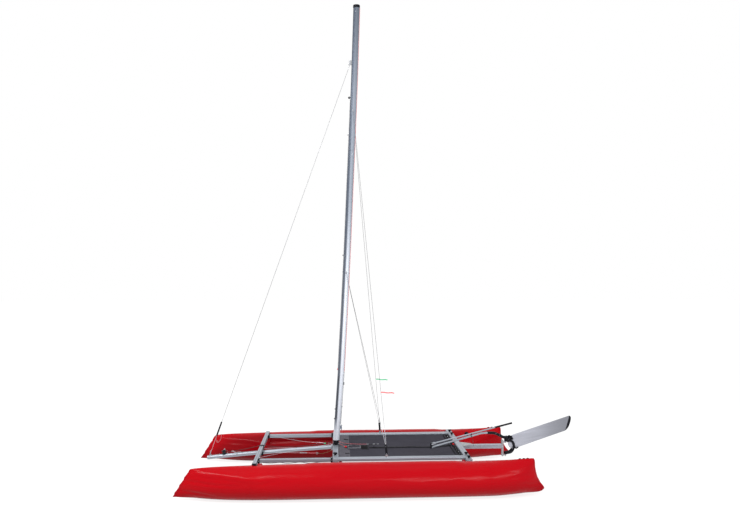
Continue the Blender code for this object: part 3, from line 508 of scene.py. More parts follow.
class Shape:
    """Forms gathered into one mesh, each in one of the piece's finishes."""

    def __init__(self):
        self.points, self.wraps, self.faces, self.paints = [], [], [], []
        self.count = 0

    def skin(self, rings, paint=0, closed=False, at=None, zipped=False):
        """A skin over rings with equal numbers of points; zipped ends are closed from side to side."""
        rings = np.asarray(rings, float)
        rows, sides = rings.shape[:2]
        steps = np.linalg.norm(np.diff(rings.mean(axis=1), axis=0), axis=1)
        turn = 2 * pi * np.arange(sides) / sides
        wrap = np.empty((rows, sides, 3))
        wrap[..., 0], wrap[..., 1] = np.cos(turn), np.sin(turn)
        wrap[..., 2] = np.concatenate([[0], np.cumsum(steps)])[:, None]
        row, side = np.meshgrid(np.arange(rows if closed else rows - 1), np.arange(sides), indexing="ij")
        after, beside = (row + 1) % rows, (side + 1) % sides
        corners = (row * sides + side, row * sides + beside, after * sides + beside, after * sides + side)
        quads = (np.stack(corners, axis=-1).reshape(-1, 4) + self.count).tolist()
        last = self.count + (rows - 1) * sides
        if zipped:
            for k in range(-sides // 4, sides // 4):
                around = [k, k + 1, sides // 2 - k - 1, sides // 2 - k]
                face = list(dict.fromkeys(point % sides for point in around))
                quads.append([self.count + point for point in face[::-1]])
                quads.append([last + point for point in face])
        elif not closed:
            quads.append(list(range(self.count + sides - 1, self.count - 1, -1)))
            quads.append(list(range(last, last + sides)))
        points = rings.reshape(-1, 3)
        if at is not None:
            turned = np.array(at)
            points = points @ turned[:3, :3].T + turned[:3, 3]
        self.faces.extend(quads)
        self.paints.extend([paint] * len(quads))
        self.points.append(points)
        self.wraps.append(wrap.reshape(-1, 3))
        self.count += len(points)
        return self

    def run(self, path, section, paint=0, up=None, closed=False, at=None):
        """A section carried along a path; one section, or one for each point."""
        path = np.asarray(path, float)
        way = np.roll(path, -1, axis=0) - np.roll(path, 1, axis=0) if closed else np.gradient(path, axis=0)
        way /= np.linalg.norm(way, axis=1)[:, None]
        if up is None:
            up = (0, 0, 1) if abs(way[0][2]) < 0.9 else (1, 0, 0)
        top, tops = np.asarray(up, float), []
        for direction in way:
            top = top - (top @ direction) * direction
            top = top / np.linalg.norm(top)
            tops.append(top)
        tops = np.array(tops)
        across = np.cross(way, tops)
        section = np.asarray(section, float)
        if section.ndim == 2:
            section = np.repeat(section[None], len(path), axis=0)
        rings = (
            path[:, None]
            + section[:, :, 0:1] * across[:, None]
            + section[:, :, 1:2] * tops[:, None]
        )
        return self.skin(rings, paint, closed, at)

    def line(self, points, radius, paint=0, sides=8, spacing=0.01, at=None):
        """A round line along a smooth curve through a few points."""
        return self.run(spline(points, spacing), circle(radius, sides), paint, at=at)

    def block(self, low, high, edge=0.002, paint=0, at=None):
        """A box with rounded edges."""
        low, high = np.array(low, float), np.array(high, float)
        size, middle = high - low, (low + high) / 2
        edge = min(edge, size.min() / 2.05)
        rings = []
        levels = ((0, 1), (0.29, 0.29), (1, 0))
        stages = [(low[2] + rise * edge, inset * edge) for rise, inset in levels]
        stages += [(high[2] - rise * edge, inset * edge) for rise, inset in reversed(levels)]
        for z, inset in stages:
            corner = max(edge - inset, 0.12 * edge)
            outline = rounded(size[0] - 2 * inset, size[1] - 2 * inset, corner)
            rings.append([(middle[0] + x, middle[1] + y, z) for x, y in outline])
        return self.skin(rings, paint, at=at)

    def bar(self, first, last, outline, wall=0.003, recess=0.0015, paint=0):
        """A level extruded bar with open ends."""
        first, last, up = np.array(first, float), np.array(last, float), np.array([0, 0, 1])
        way = (last - first) / np.linalg.norm(last - first)
        across = np.cross(way, up)
        inner = outline * (1 - 2 * wall / np.ptp(outline, axis=0))
        stages = (
            (first + way * recess, inner), (first, inner), (first, outline),
            (last, outline), (last, inner), (last - way * recess, inner),
        )
        rings = [place + ring[:, :1] * across + ring[:, 1:] * up for place, ring in stages]
        return self.skin(rings, paint)

    def pillow(self, low, high, edge=0.016, paint=0):
        """A stuffed block: its sides swell out to the box and its edges are round."""
        low, high = np.array(low, float), np.array(high, float)
        size, middle = high - low, (low + high) / 2
        rings = []
        for level in np.sin(pi / 2 * np.linspace(-1, 1, 17)):
            inset = edge * (1 - np.sqrt(max(1 - abs(level) ** 4, 0)))
            outline = rounded(size[0] - 2 * inset, size[1] - 2 * inset, edge, 5)
            rings.append([(middle[0] + x, middle[1] + y, middle[2] + level * size[2] / 2) for x, y in outline])
        return self.skin(rings, paint)

    def turned(self, profile, at=None, sides=24, lobes=0, depth=0.0, paint=0):
        """A turned form from pairs of radius and height, with lobes if it has any."""
        turn = 2 * pi * np.arange(sides) / sides
        wave = 1 - depth * (0.5 - 0.5 * np.cos(lobes * turn))
        rings = [
            np.stack([radius * wave * np.cos(turn), radius * wave * np.sin(turn), np.full(sides, height)], axis=1)
            for radius, height in profile
        ]
        return self.skin(rings, paint, at=at)

    def hoop(self, middle, radius, thick, axis=(0, 1, 0), paint=0, steps=20, sides=8, reach=None):
        """A ring of round wire; reach makes it a long link."""
        turn = 2 * pi * np.arange(steps) / steps
        flat = np.stack([radius * np.cos(turn), (reach or radius) * np.sin(turn), 0 * turn], axis=1)
        way = aim(middle, axis)
        return self.run(flat, circle(thick, sides), paint, (0, 0, 1), True, way)

    def bolt(self, place, axis, radius=0.004, paint=0, tall=None):
        """A washer with a hexagonal head on it."""
        way = aim(place, axis)
        tall = tall or radius * 0.9
        self.turned([(radius * 1.7, 0), (radius * 1.75, 0.0004), (radius * 1.65, 0.0012)], way, paint=paint)
        head = [(radius * 1.1, 0.0012), (radius * 1.1, tall * 0.85), (radius * 0.9, tall)]
        self.turned(head, way, 6, paint=paint)
        return self.turned([(radius * 0.45, tall), (radius * 0.3, tall + 0.0003)], way, 12, paint=paint)

    def knob(self, place, radius=0.022, tall=0.026, paint=0, lobes=4, axis=(0, 0, 1), turn=0.4):
        """A lobed clamping knob with a stem below it."""
        way = aim(place, axis, turn)
        stem = [(radius * 0.62, 0), (radius * 0.55, tall * 0.12), (radius * 0.50, tall * 0.4)]
        self.turned(stem, way, paint=paint)
        head = [
            (radius * 0.55, tall * 0.36),
            (radius * 0.93, tall * 0.40),
            (radius, tall * 0.50),
            (radius, tall * 0.78),
            (radius * 0.94, tall * 0.90),
            (radius * 0.62, tall * 0.98),
            (radius * 0.3, tall),
        ]
        return self.turned(head, way, 48, lobes, 0.34, paint)

    def shackle(self, top, foot, width=0.010, thick=0.0022, paint=0, axis=(0, 1, 0)):
        """A bow shackle from its crown at top to its pin at foot."""
        top, foot, axis = (np.array(value, float) for value in (top, foot, axis))
        drop = top - foot
        points = []
        for share, rise in ((-1, 0), (-1, 0.45), (-0.8, 0.82), (0, 1), (0.8, 0.82), (1, 0.45), (1, 0)):
            points.append(foot + drop * rise + axis * share * width / 2)
        self.line(points, thick, paint, spacing=0.003)
        ends = foot - axis * (width / 2 + 2.2 * thick), foot + axis * (width / 2 + 2.2 * thick)
        self.line(ends, thick * 0.9, paint)
        for end in ends:
            self.turned([(thick * 1.6, -thick), (thick * 1.9, 0), (thick * 1.6, thick)], aim(end, axis), paint=paint)
        return self

    def stitches(self, points, paint=0, length=0.006, gap=0.0035, thick=0.0007):
        """A row of stitches along a curve."""
        path = spline(points, 0.01)
        steps = np.linalg.norm(np.diff(path, axis=0), axis=1)
        reach = np.concatenate([[0], np.cumsum(steps)])
        starts = np.arange(gap, reach[-1] - length, length + gap)
        shares = np.array([0, 0.15, 0.85, 1]) * length
        section = circle(thick, 5)
        for start_at in starts:
            at = np.stack([np.interp(start_at + shares, reach, path[:, k]) for k in range(3)], axis=1)
            sections = np.stack([section * size for size in (0.35, 1, 1, 0.35)])
            self.run(at, sections, paint)
        return self


def piece(name, shape, finishes, carrier="boat", stands_for=(), sharp=38):
    """A shown piece: its mesh in place, its finishes, and the body that carries it."""
    points = np.concatenate(shape.points)
    place = np.array(PLACES[carrier])
    points = points @ place[:3, :3].T + place[:3, 3]
    mesh = bpy.data.meshes.new(name)
    mesh.from_pydata(points.tolist(), [], shape.faces)
    for finish in finishes:
        mesh.materials.append(finish)
    mesh.polygons.foreach_set("material_index", shape.paints)
    wrap = mesh.attributes.new("wrap", "FLOAT_VECTOR", "POINT")
    wrap.data.foreach_set("vector", np.concatenate(shape.wraps).ravel())
    made = bmesh.new()
    made.from_mesh(mesh)
    bmesh.ops.recalc_face_normals(made, faces=made.faces)
    made.to_mesh(mesh)
    made.free()
    mesh.shade_smooth()
    mesh.set_sharp_from_angle(angle=radians(sharp))
    holder = bpy.data.objects.new(name, mesh)
    bpy.context.scene.collection.objects.link(holder)
    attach(holder, carrier)
    if stands_for:
        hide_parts(*stands_for)
    return holder


def dress_nodes():
    """Finishes for the CAD nodes that stay."""
    table = (
        (ALU_TILLER, ("extension_fork",)),
        (ALU_X, ("bowsprit_socket",)),
        (NYLON, (
            "crossbar_cap_port", "crossbar_cap_starboard", "crossbar_socket_port",
            "crossbar_socket_starboard", "mast_beam_socket_port", "mast_beam_socket_starboard",
            "bowsprit_clamp", "mast_foot", "mast_cap", "extension_knuckle",
        )),
        (STEEL, ("chainplate_port", "chainplate_starboard", "bowsprit_eye", "forestay_tang")),
        (MAST, ("shroud_band_upper", "shroud_band_lower")),
        (WIRE, ("shroud_upper_port", "shroud_upper_starboard", "shroud_lower_port", "shroud_lower_starboard", "forestay", "forestay_tail")),
        (STAR, ("rudder_beam_gusset",)),
        (ALU_Z, ("rudder_post",)),
    )
    for finish, names in table:
        for name in names:
            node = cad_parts[name]
            if not node.material_slots:
                node.data.materials.append(None)
            for holder in node.material_slots:
                holder.material = finish


dress_nodes()

# Hulls: the foot and top of each section's middle line (X and Z), its half width, how much it
# is pinched above and below, and how far its line bows forward
SEAM = 0.007
HULL_STATIONS = (
    (1.941, 0.050, 1.737, 0.374, SEAM, 1.0, 0.000),
    (1.850, 0.042, 1.690, 0.378, 0.045, 1.5, 0.000),
    (1.712, 0.034, 1.600, 0.382, 0.088, 1.45, 0.0),
    (1.487, 0.015, 1.430, 0.391, 0.136, 1.3, 0.0),
    (1.230, 0.004, 1.200, 0.399, 0.171, 1.15, 0.0),
    (0.950, 0.000, 0.940, 0.402, 0.192, 1.05, 0.0),
    (0.600, 0.000, 0.600, 0.406, 0.203, 1.0, 0.0),
    (0.000, 0.000, 0.000, 0.410, 0.205, 1.0, 0.0),
    (-0.900, 0.000, -0.900, 0.410, 0.205, 1.0, 0.0),
    (-1.540, 0.000, -1.540, 0.411, 0.205, 1.0, 0.0),
    (-1.900, 0.001, -1.880, 0.416, 0.193, 1.05, 0.0),
    (-2.180, 0.014, -2.130, 0.425, 0.158, 1.2, 0.006),
    (-2.380, 0.036, -2.300, 0.437, 0.104, 1.4, 0.016),
    (-2.500, 0.062, -2.400, 0.441, 0.050, 1.5, 0.026),
    (-2.562, 0.092, -2.445, 0.430, SEAM, 1.0, 0.030),
)
HULL_SIDES = 96
# Heights up the stern edge and where it is along the boat there
STERN_EDGE = (
    (0.060, -2.548), (0.074, -2.560), (0.086, -2.562), (0.106, -2.551), (0.154, -2.510),
    (0.223, -2.476), (0.290, -2.459), (0.345, -2.450), (0.395, -2.448), (0.440, -2.442),
)

# Beams that rest on the hulls: X, half width along X, half length, underside
BARS = ((0.981, 0.024, 0.812, 0.375), (0.0, 0.036, 0.700, 0.383), (-1.650, 0.036, 0.780, 0.383))

# Folds in the hulls' ends: points of the fold in X and Z, its half width and its height
FOLDS = (
    (((1.70, 0.352), (1.35, 0.331), (1.16, 0.308), (0.98, 0.272), (0.80, 0.252)), 0.040, 0.0085),
    (((1.72, 0.300), (1.35, 0.285), (1.05, 0.250)), 0.020, -0.004),
    (((1.84, 0.243), (1.54, 0.229), (1.25, 0.212), (1.05, 0.205)), 0.020, -0.0065),
    (((1.78, 0.218), (1.45, 0.206), (0.95, 0.196)), 0.018, 0.0035),
    (((1.87, 0.124), (1.60, 0.104), (1.40, 0.088)), 0.014, -0.0045),
    (((1.80, 0.160), (1.55, 0.150), (1.30, 0.140)), 0.020, 0.0025),
    (((0.97, 0.230), (0.84, 0.236), (0.70, 0.262)), 0.018, -0.0035),
    (((-2.02, 0.335), (-2.25, 0.350), (-2.43, 0.372)), 0.026, 0.0040),
    (((-2.10, 0.250), (-2.30, 0.262), (-2.46, 0.285)), 0.022, -0.0040),
    (((-2.20, 0.160), (-2.38, 0.150), (-2.52, 0.150)), 0.020, -0.0030),
)


def corner_cut(gap, radius):
    """How far a round corner cuts in at some distance from its end."""
    past = 1 - np.clip(gap / radius, 0, 1)
    return radius * (1 - np.sqrt(1 - past**2))


def hull_grid(along, phase=0.0, lift=0.0):
    """Points of the hull's skin about Y = 0 at stations along it, with its folds and dents."""
    table = np.array(HULL_STATIONS)
    middles = (table[:, 0] + table[:, 2]) / 2
    foot_x, foot_z, top_x, top_z, half, pinch, bow = smooth_table(-middles, table, along).T[:, :, None]
    turn = 2 * pi * np.arange(HULL_SIDES) / HULL_SIDES
    across, up = np.cos(turn)[None], np.sin(turn)[None]
    share = (1 + up) / 2
    wide = half * np.abs(across) ** pinch * np.sign(across)
    from_bow, from_stern = (along + middles[0])[:, None], (-middles[-1] - along)[:, None]
    cut_top = corner_cut(from_bow, 0.032) + corner_cut(from_stern, 0.020)
    cut_foot = corner_cut(from_stern, 0.016)
    height = top_z - foot_z
    share = share * (1 - (cut_top + cut_foot) / height) + cut_foot / height
    stern = (1 - np.clip(from_stern / 0.10, 0, 1)) ** 2
    x = foot_x + (top_x - foot_x) * share + bow * (1 - up**2)
    drop = (1 - np.clip(from_stern / 0.34, 0, 1)) ** 2
    z = foot_z + height * share - 0.036 * drop * (1 - share) ** 2 + 0.010 * stern * share**3
    last = table[-1]
    edge = last[0] + (last[2] - last[0]) * share + last[6] * (1 - up**2)
    edge_z, edge_x = np.array(STERN_EDGE).T
    x = x + stern * (np.interp(z, edge_z, edge_x) - edge)
    points = np.stack([x, wide, z], axis=2)
    rows = np.gradient(points, axis=0)
    around = np.roll(points, -1, axis=1) - np.roll(points, 1, axis=1)
    out = np.cross(rows, around)
    out /= np.maximum(np.linalg.norm(out, axis=2, keepdims=True), 1e-9)
    middle = points.mean(axis=1, keepdims=True)
    out *= np.sign(((points - middle) * out).sum(axis=2, keepdims=True))
    rise = np.zeros_like(x)
    for path, width, crest in FOLDS:
        xs, zs = np.array(sorted(path)).T
        line = smooth_table(xs, zs[:, None], np.clip(x, xs[0], xs[-1]).ravel())[:, 0].reshape(x.shape)
        share_along = np.clip((x - xs[0]) / (xs[-1] - xs[0]), 0, 1)
        fade = np.sin(pi * share_along) ** 0.7
        sway = 0.006 * np.sin(6 * x + phase + 2 * np.sign(wide))
        rise += 1.5 * crest * fade * np.exp(-(((z - line - sway) / width) ** 2))
    for end in (1.839, -2.5035):
        near = np.exp(-np.abs((foot_x + top_x) / 2 - end) / 0.10) * np.clip(half / 0.05 - 0.2, 0, 1)
        ripple = np.sin(115 * z + phase + 5 * x) + 0.6 * np.sin(190 * z + 2 * phase)
        rise += 0.0022 * near * ripple * (np.abs(across) ** 0.5)
    notches = np.exp(-np.abs((foot_x + top_x) / 2 - 1.839) / 0.05)
    points[..., 0] += 0.0035 * notches * (np.sin(70 * z + phase) + 0.5 * np.sin(143 * z))
    rise += 0.0012 * np.sin(7 * x + phase) * np.sin(3 * turn + phase)
    rise += 0.010 * np.clip(up, 0, 1) ** 3 * np.clip((0.98 - np.abs(x + 0.60)) / 0.12, 0, 1)
    points += out * (rise + lift)[..., None]
    points[..., 2] = np.maximum(points[..., 2], -lift)
    return points


def seated(points):
    """Presses the skin down under the beams that lie on it."""
    y = points[..., 1] + HULL_Y
    for x, half_width, half_length, low in BARS:
        beside = np.maximum(np.abs(points[..., 0] - x) - half_width - 0.006, 0)
        beyond = np.maximum(y - half_length - 0.006, 0)
        top = low - 0.0012 + 1.5 * (np.hypot(np.hypot(beside, 2.6 * beyond), 0.008) - 0.008)
        points[..., 2] = np.minimum(points[..., 2], np.where(points[..., 2] > 0.2, top, 9))
    return points


def hulls():
    """Both inflated hulls, with taped seams, pads under the beams, rods and valves."""
    along = np.concatenate([
        np.linspace(-1.839, -1.809, 12)[:-1],
        np.linspace(-1.809, -1.10, 70)[:-1],
        np.linspace(-1.10, -0.86, 50)[:-1],
        np.linspace(-0.86, -0.14, 50)[:-1],
        np.linspace(-0.14, 0.14, 60)[:-1],
        np.linspace(0.14, 1.52, 90)[:-1],
        np.linspace(1.52, 1.78, 56)[:-1],
        np.linspace(1.78, 2.4735, 68)[:-1],
        np.linspace(2.4735, 2.5035, 12),
    ])
    for side, sign in SIDES:
        phase = 0.7 if sign > 0 else 2.9
        placed = np.array([1, sign, 1])
        shift = np.array([0, sign * HULL_Y, 0])
        skin = seated(hull_grid(along, phase))
        shape = Shape().skin(skin * placed + shift, zipped=True)
        for first, last in ((-1.839, -1.815), (2.478, 2.5035)):
            tape = hull_grid(np.linspace(first, last, 8), phase, 0.0016)
            shape.skin(tape * placed + shift, 1, zipped=True)
        for at in (-1.02, 0.46, 1.88):
            band = hull_grid(np.linspace(at - 0.018, at + 0.018, 6), phase, 0.0011)
            shape.skin(band * placed + shift, 0)
        piece("hull_skin_" + side, shape, (HULL, HULL_TAPE), stands_for=("hull_" + side,))

        keel = hull_grid(np.linspace(-1.60, 2.25, 150), phase, 0.0016)
        turn = np.arange(HULL_SIDES)
        low = [k for k in turn if 64 <= k <= 80]
        rings = np.concatenate([keel[:, low], keel[:, low[::-1]] + np.array([0, 0, 0.002])], axis=1)
        piece("keel_strip_" + side, Shape().skin(rings * placed + shift), (HULL_TAPE,))

        beam_pads(side, sign)
        hull_fittings(side, sign)


# Pads under the beams: middle along the boat, reach aft and forward, underside of the beam and
# the inner and outer ends; and pads that stand up beside them: first and last X, ends and top
PADS = (
    (0.981, 0.053, 0.053, 0.375, 0.657, 0.758),
    (0.0, 0.058, 0.058, 0.383, 0.652, 0.758),
    (-1.650, 0.053, 0.053, 0.383, 0.657, 0.758),
)
UPRIGHT_PADS = (
    (0.890, 0.9560, 0.690, 0.775, 0.394),
    (-0.085, -0.0370, 0.690, 0.760, 0.407),
    (-1.6130, -1.560, 0.690, 0.765, 0.405),
)


def beam_pads(side, sign):
    """Stuffed pads on the hull, under the beams and beside them, and the rods before the rear ones."""
    pads = Shape()
    for x, aft, fore, low, inner, outer in PADS:
        ends = sorted((sign * inner, sign * outer))
        pads.pillow((x - aft, ends[0], 0.285), (x + fore, ends[1], low - 0.0005), 0.014)
        for step in (-aft, fore):
            edge = x + step * 0.985
            pads.stitches([(edge, sign * y, low - 0.012) for y in (inner + 0.016, outer - 0.016)], 1)
    for first, last, inner, outer, top in UPRIGHT_PADS:
        ends = sorted((sign * inner, sign * outer))
        pads.pillow((first, ends[0], 0.30), (last, ends[1], top), 0.015)
        for y in (ends[0] + 0.010, ends[1] - 0.010):
            pads.line([(first + 0.008, y, top - 0.004), (last - 0.008, y, top - 0.004)], 0.0018, 0, 8, 0.01)
        for x in (first + 0.013, last - 0.013):
            pads.stitches([(x, y, top - 0.0002) for y in (ends[0] + 0.016, ends[1] - 0.016)], 1)
    x, rod_z = UPRIGHT_PADS[2][1] + 0.0085, 0.372
    reach = sorted((sign * 0.664, sign * 0.785))
    pads.line([(x, reach[0], rod_z), (x, reach[1], rod_z)], 0.008, 2, 20)
    for end, way in zip(reach, (-1, 1)):
        pads.turned([(0.0086, -0.004), (0.0092, 0.001), (0.007, 0.004)], aim((x, end, rod_z), (0, way, 0)), paint=3)
    piece("beam_pads_" + side, pads, (HULL, THREAD, ALU_Y, NYLON))


def on_hull(x, angle, sign, lift=0.0):
    """A point of the hull's skin and the way out of it, at an angle round from its inner side."""
    table = np.array(HULL_STATIONS)
    middles = (table[:, 0] + table[:, 2]) / 2
    foot_x, foot_z, top_x, top_z, half, pinch, _ = smooth_table(-middles, table, [-x])[0]
    across, up = cos(angle), sin(angle)
    height = (top_z - foot_z) / 2
    way = Vector((0, -sign * across * height, up * half)).normalized()
    wide = half * abs(across) ** pinch * (1 if across > 0 else -1)
    place = Vector((x, sign * (HULL_Y - wide), foot_z + height * (1 + up)))
    return place + way * lift, way


def hull_fittings(side, sign):
    """Valve, lacing loops at the stern, and small tabs by the shrouds."""
    shape = Shape()
    place, way = on_hull(-1.912, radians(38 if sign > 0 else 52), sign, 0.001)
    at = aim(place, way)
    rim = [(0.032, -0.003), (0.033, 0.001), (0.030, 0.004), (0.027, 0.005)]
    shape.turned(rim, at, 32)
    shape.turned([(0.025, 0.004), (0.0255, 0.014), (0.022, 0.020), (0.012, 0.0215)], at, 48, 16, 0.05)
    shape.block((-0.016, -0.003, 0.019), (0.016, 0.003, 0.026), 0.002, at=at)
    for k in range(6):
        angle = 2 * pi * k / 6
        shape.turned(
            [(0.0016, 0.0), (0.0016, 0.0052), (0.001, 0.0056)],
            at @ Matrix.Translation((0.0295 * cos(angle), 0.0295 * sin(angle), 0)),
            10,
        )
    piece("valve_" + side, shape, (NYLON,))

    # The stern loops are drawn in black webbing; their black is painted shade, standing for shadowed red folds there.
    loops = Shape()
    for x, size in ((-2.262, 0.012), (-2.312, 0.011), (-2.358, 0.010)):
        place, way = on_hull(x, radians(91), sign, -0.001)
        foot = np.array(place)
        points = [foot + np.array([dx * size, 0, dz * size]) for dx, dz in (
            (-1.2, -0.15), (-0.9, 0.20), (-0.35, 0.45), (0.3, 0.50), (0.85, 0.30), (1.2, -0.15),
        )]
        loops.run(spline(points, 0.003), rounded(0.013, 0.003, 0.0012), 0, (0, 1, 0))
    place, way = on_hull(-0.66, radians(80), sign, 0.0)
    loops.block((-0.022, -0.016, -0.003), (0.022, 0.016, 0.0035), 0.003, at=aim(place, way))
    loops.stitches([np.array(aim(place, way) @ Vector((dx, 0.012, 0.004))) for dx in (-0.018, 0.018)], 1)
    piece("hull_loops_" + side, loops, (WEB, THREAD))


hulls()

# Frame fittings
RAIL_Y = 0.62
FRAME_TOP = 0.423
BEAM_TOP = 0.426


def frame_bars():
    """The frame's extruded bars, slotted and open at their ends."""
    beam = ((0, 0.0, 0.004, 0.004), (2, 0.0, 0.004, 0.004), (3, 0.0, 0.004, 0.003),
            (1, -0.024, 0.0012, 0.0008), (1, 0.024, 0.0012, 0.0008))
    square = tuple((side, 0.0, 0.004, 0.004) for side in range(4))
    flat = ((0, 0.0, 0.0035, 0.004), (2, 0.0, 0.0035, 0.004), (1, -0.020, 0.0015, 0.001), (1, 0.020, 0.0015, 0.001))
    tall = ((0, -0.014, 0.0012, 0.0008), (0, 0.014, 0.0012, 0.0008), (2, -0.014, 0.0012, 0.0008), (2, 0.014, 0.0012, 0.0008))
    table = (
        ("mast_beam", 1, beam), ("rear_beam", 1, beam), ("front_crossbar", 1, square), ("rudder_beam", 0, tall),
        ("front_rail_port", 0, square), ("front_rail_starboard", 0, square),
        ("aft_rail_port", 0, flat), ("aft_rail_starboard", 0, flat),
    )
    for name, axis, slots in table:
        low, high = (np.array(corner) - (ORIGIN_X, 0, 0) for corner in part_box(name))
        width, height = (high - low)[1 - axis], (high - low)[2]
        first, last = (low + high) / 2, (low + high) / 2
        first[axis], last[axis] = low[axis], high[axis]
        outline = extruded(width, height, 0.004, slots)
        finish = ALU_X if axis == 0 else ALU_Y
        shape = Shape().bar(first, last, outline)
        piece(name + "_profile", shape, (finish,), stands_for=(name,), sharp=30)


def frame_fittings():
    """Knobs, bolts and rivets on the beams and rails."""
    knobs = Shape()
    for x, y, radius in (
        (0.004, 0.498, 0.029), (0.004, -0.498, 0.029),
        (-1.650, 0.555, 0.023), (-1.652, 0.715, 0.023), (-1.650, -0.470, 0.020), (-1.650, -0.640, 0.023),
    ):
        knobs.knob((x, y, BEAM_TOP), radius, 0.032, 0, 4, turn=0.3 + 5 * y)
        knobs.turned([(radius * 0.95, 0), (radius * 0.95, 0.0016)], aim((x, y, BEAM_TOP)), paint=1)
        knobs.turned([(0.0045, 0.031), (0.0045, 0.0335), (0.003, 0.0342)], aim((x, y, BEAM_TOP)), 6, paint=1)
    piece("clamping_knobs", knobs, (NYLON, STEEL))

    bolts = Shape()
    for x in np.arange(-1.50, -0.10, 0.28):
        for sign in (1, -1):
            bolts.bolt((x, sign * (RAIL_Y + 0.0425), 0.414), (0, sign, 0), 0.0026)
    for x in (0.0475, 0.946):
        for sign in (1, -1):
            bolts.bolt((x, sign * (RAIL_Y + 0.027), 0.401), (0, sign, 0), 0.0035)
            bolts.bolt((x, sign * RAIL_Y, 0.430), (0, 0, 1), 0.0035)
    for y in np.linspace(-0.70, 0.70, 15):
        bolts.turned([(0.0028, 0), (0.0027, 0.0007), (0.0016, 0.0013)], aim((-1.632, y, BEAM_TOP)), 12)
        bolts.turned([(0.0028, 0), (0.0027, 0.0007), (0.0016, 0.0013)], aim((-1.668, y + 0.04, BEAM_TOP)), 12)
    for y in (-0.60, -0.55, -0.045, 0.045, 0.55, 0.60):
        bolts.bolt((0.972, y, FRAME_TOP), (0, 0, 1), 0.0026)
    for dx, dy in ((0.015, 0.085), (0.015, -0.085), (0.035, 0.0), (0.09, 0.012), (0.09, -0.012)):
        bolts.bolt((-1.6863 - dx, dy, 0.4133), (0, 0, 1), 0.0034)
    piece("frame_bolts", bolts, (STEEL,))

    clamps = Shape()
    for y in (-0.026, 0.026):
        clamps.bolt((0.981, y, 0.3027), (0, 0, -1), 0.004, 1)
    for x in (0.961, 1.001):
        ribs = [(-0.030, 0.308), (-0.036, 0.330), (-0.034, 0.356), (0.034, 0.356), (0.036, 0.330), (0.030, 0.308)]
        clamps.line([(x, y, z) for y, z in ribs], 0.0035, 0, spacing=0.006)
    for z in (0.380, 0.412):
        clamps.bolt((0.048, 0.0341, z), (0, 1, 0), 0.0030, 1)
        clamps.bolt((0.048, -0.0341, z), (0, -1, 0), 0.0030, 1)
    for y in (-0.030, -0.021, -0.012, -0.003):
        band = [(0.981 + u, y, 0.399 + v) for u, v in rounded(0.0545, 0.0545, 0.006)]
        clamps.run(np.array(band), circle(0.0040, 6), 2, (0, 1, 0), True)
    for sign in (1, -1):
        low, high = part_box("crossbar_cap_" + ("port" if sign > 0 else "starboard"))
        y = high.y if sign > 0 else low.y
        ends = sorted((y - sign * 0.0005, y + sign * 0.0010))
        clamps.block((0.965, ends[0], 0.383), (0.997, ends[1], 0.415), 0.0006)
    piece("sprit_clamp_fittings", clamps, (NYLON, STEEL, LINE_BLACK))


frame_bars()


frame_fittings()

# Bowsprit
SPRIT_LINE = ((0.0380, 0.398), (0.60, 0.365), (1.20, 0.3225), (1.690, 0.281))


def sprit_z(x):
    return float(np.interp(x, *np.array(SPRIT_LINE).T))


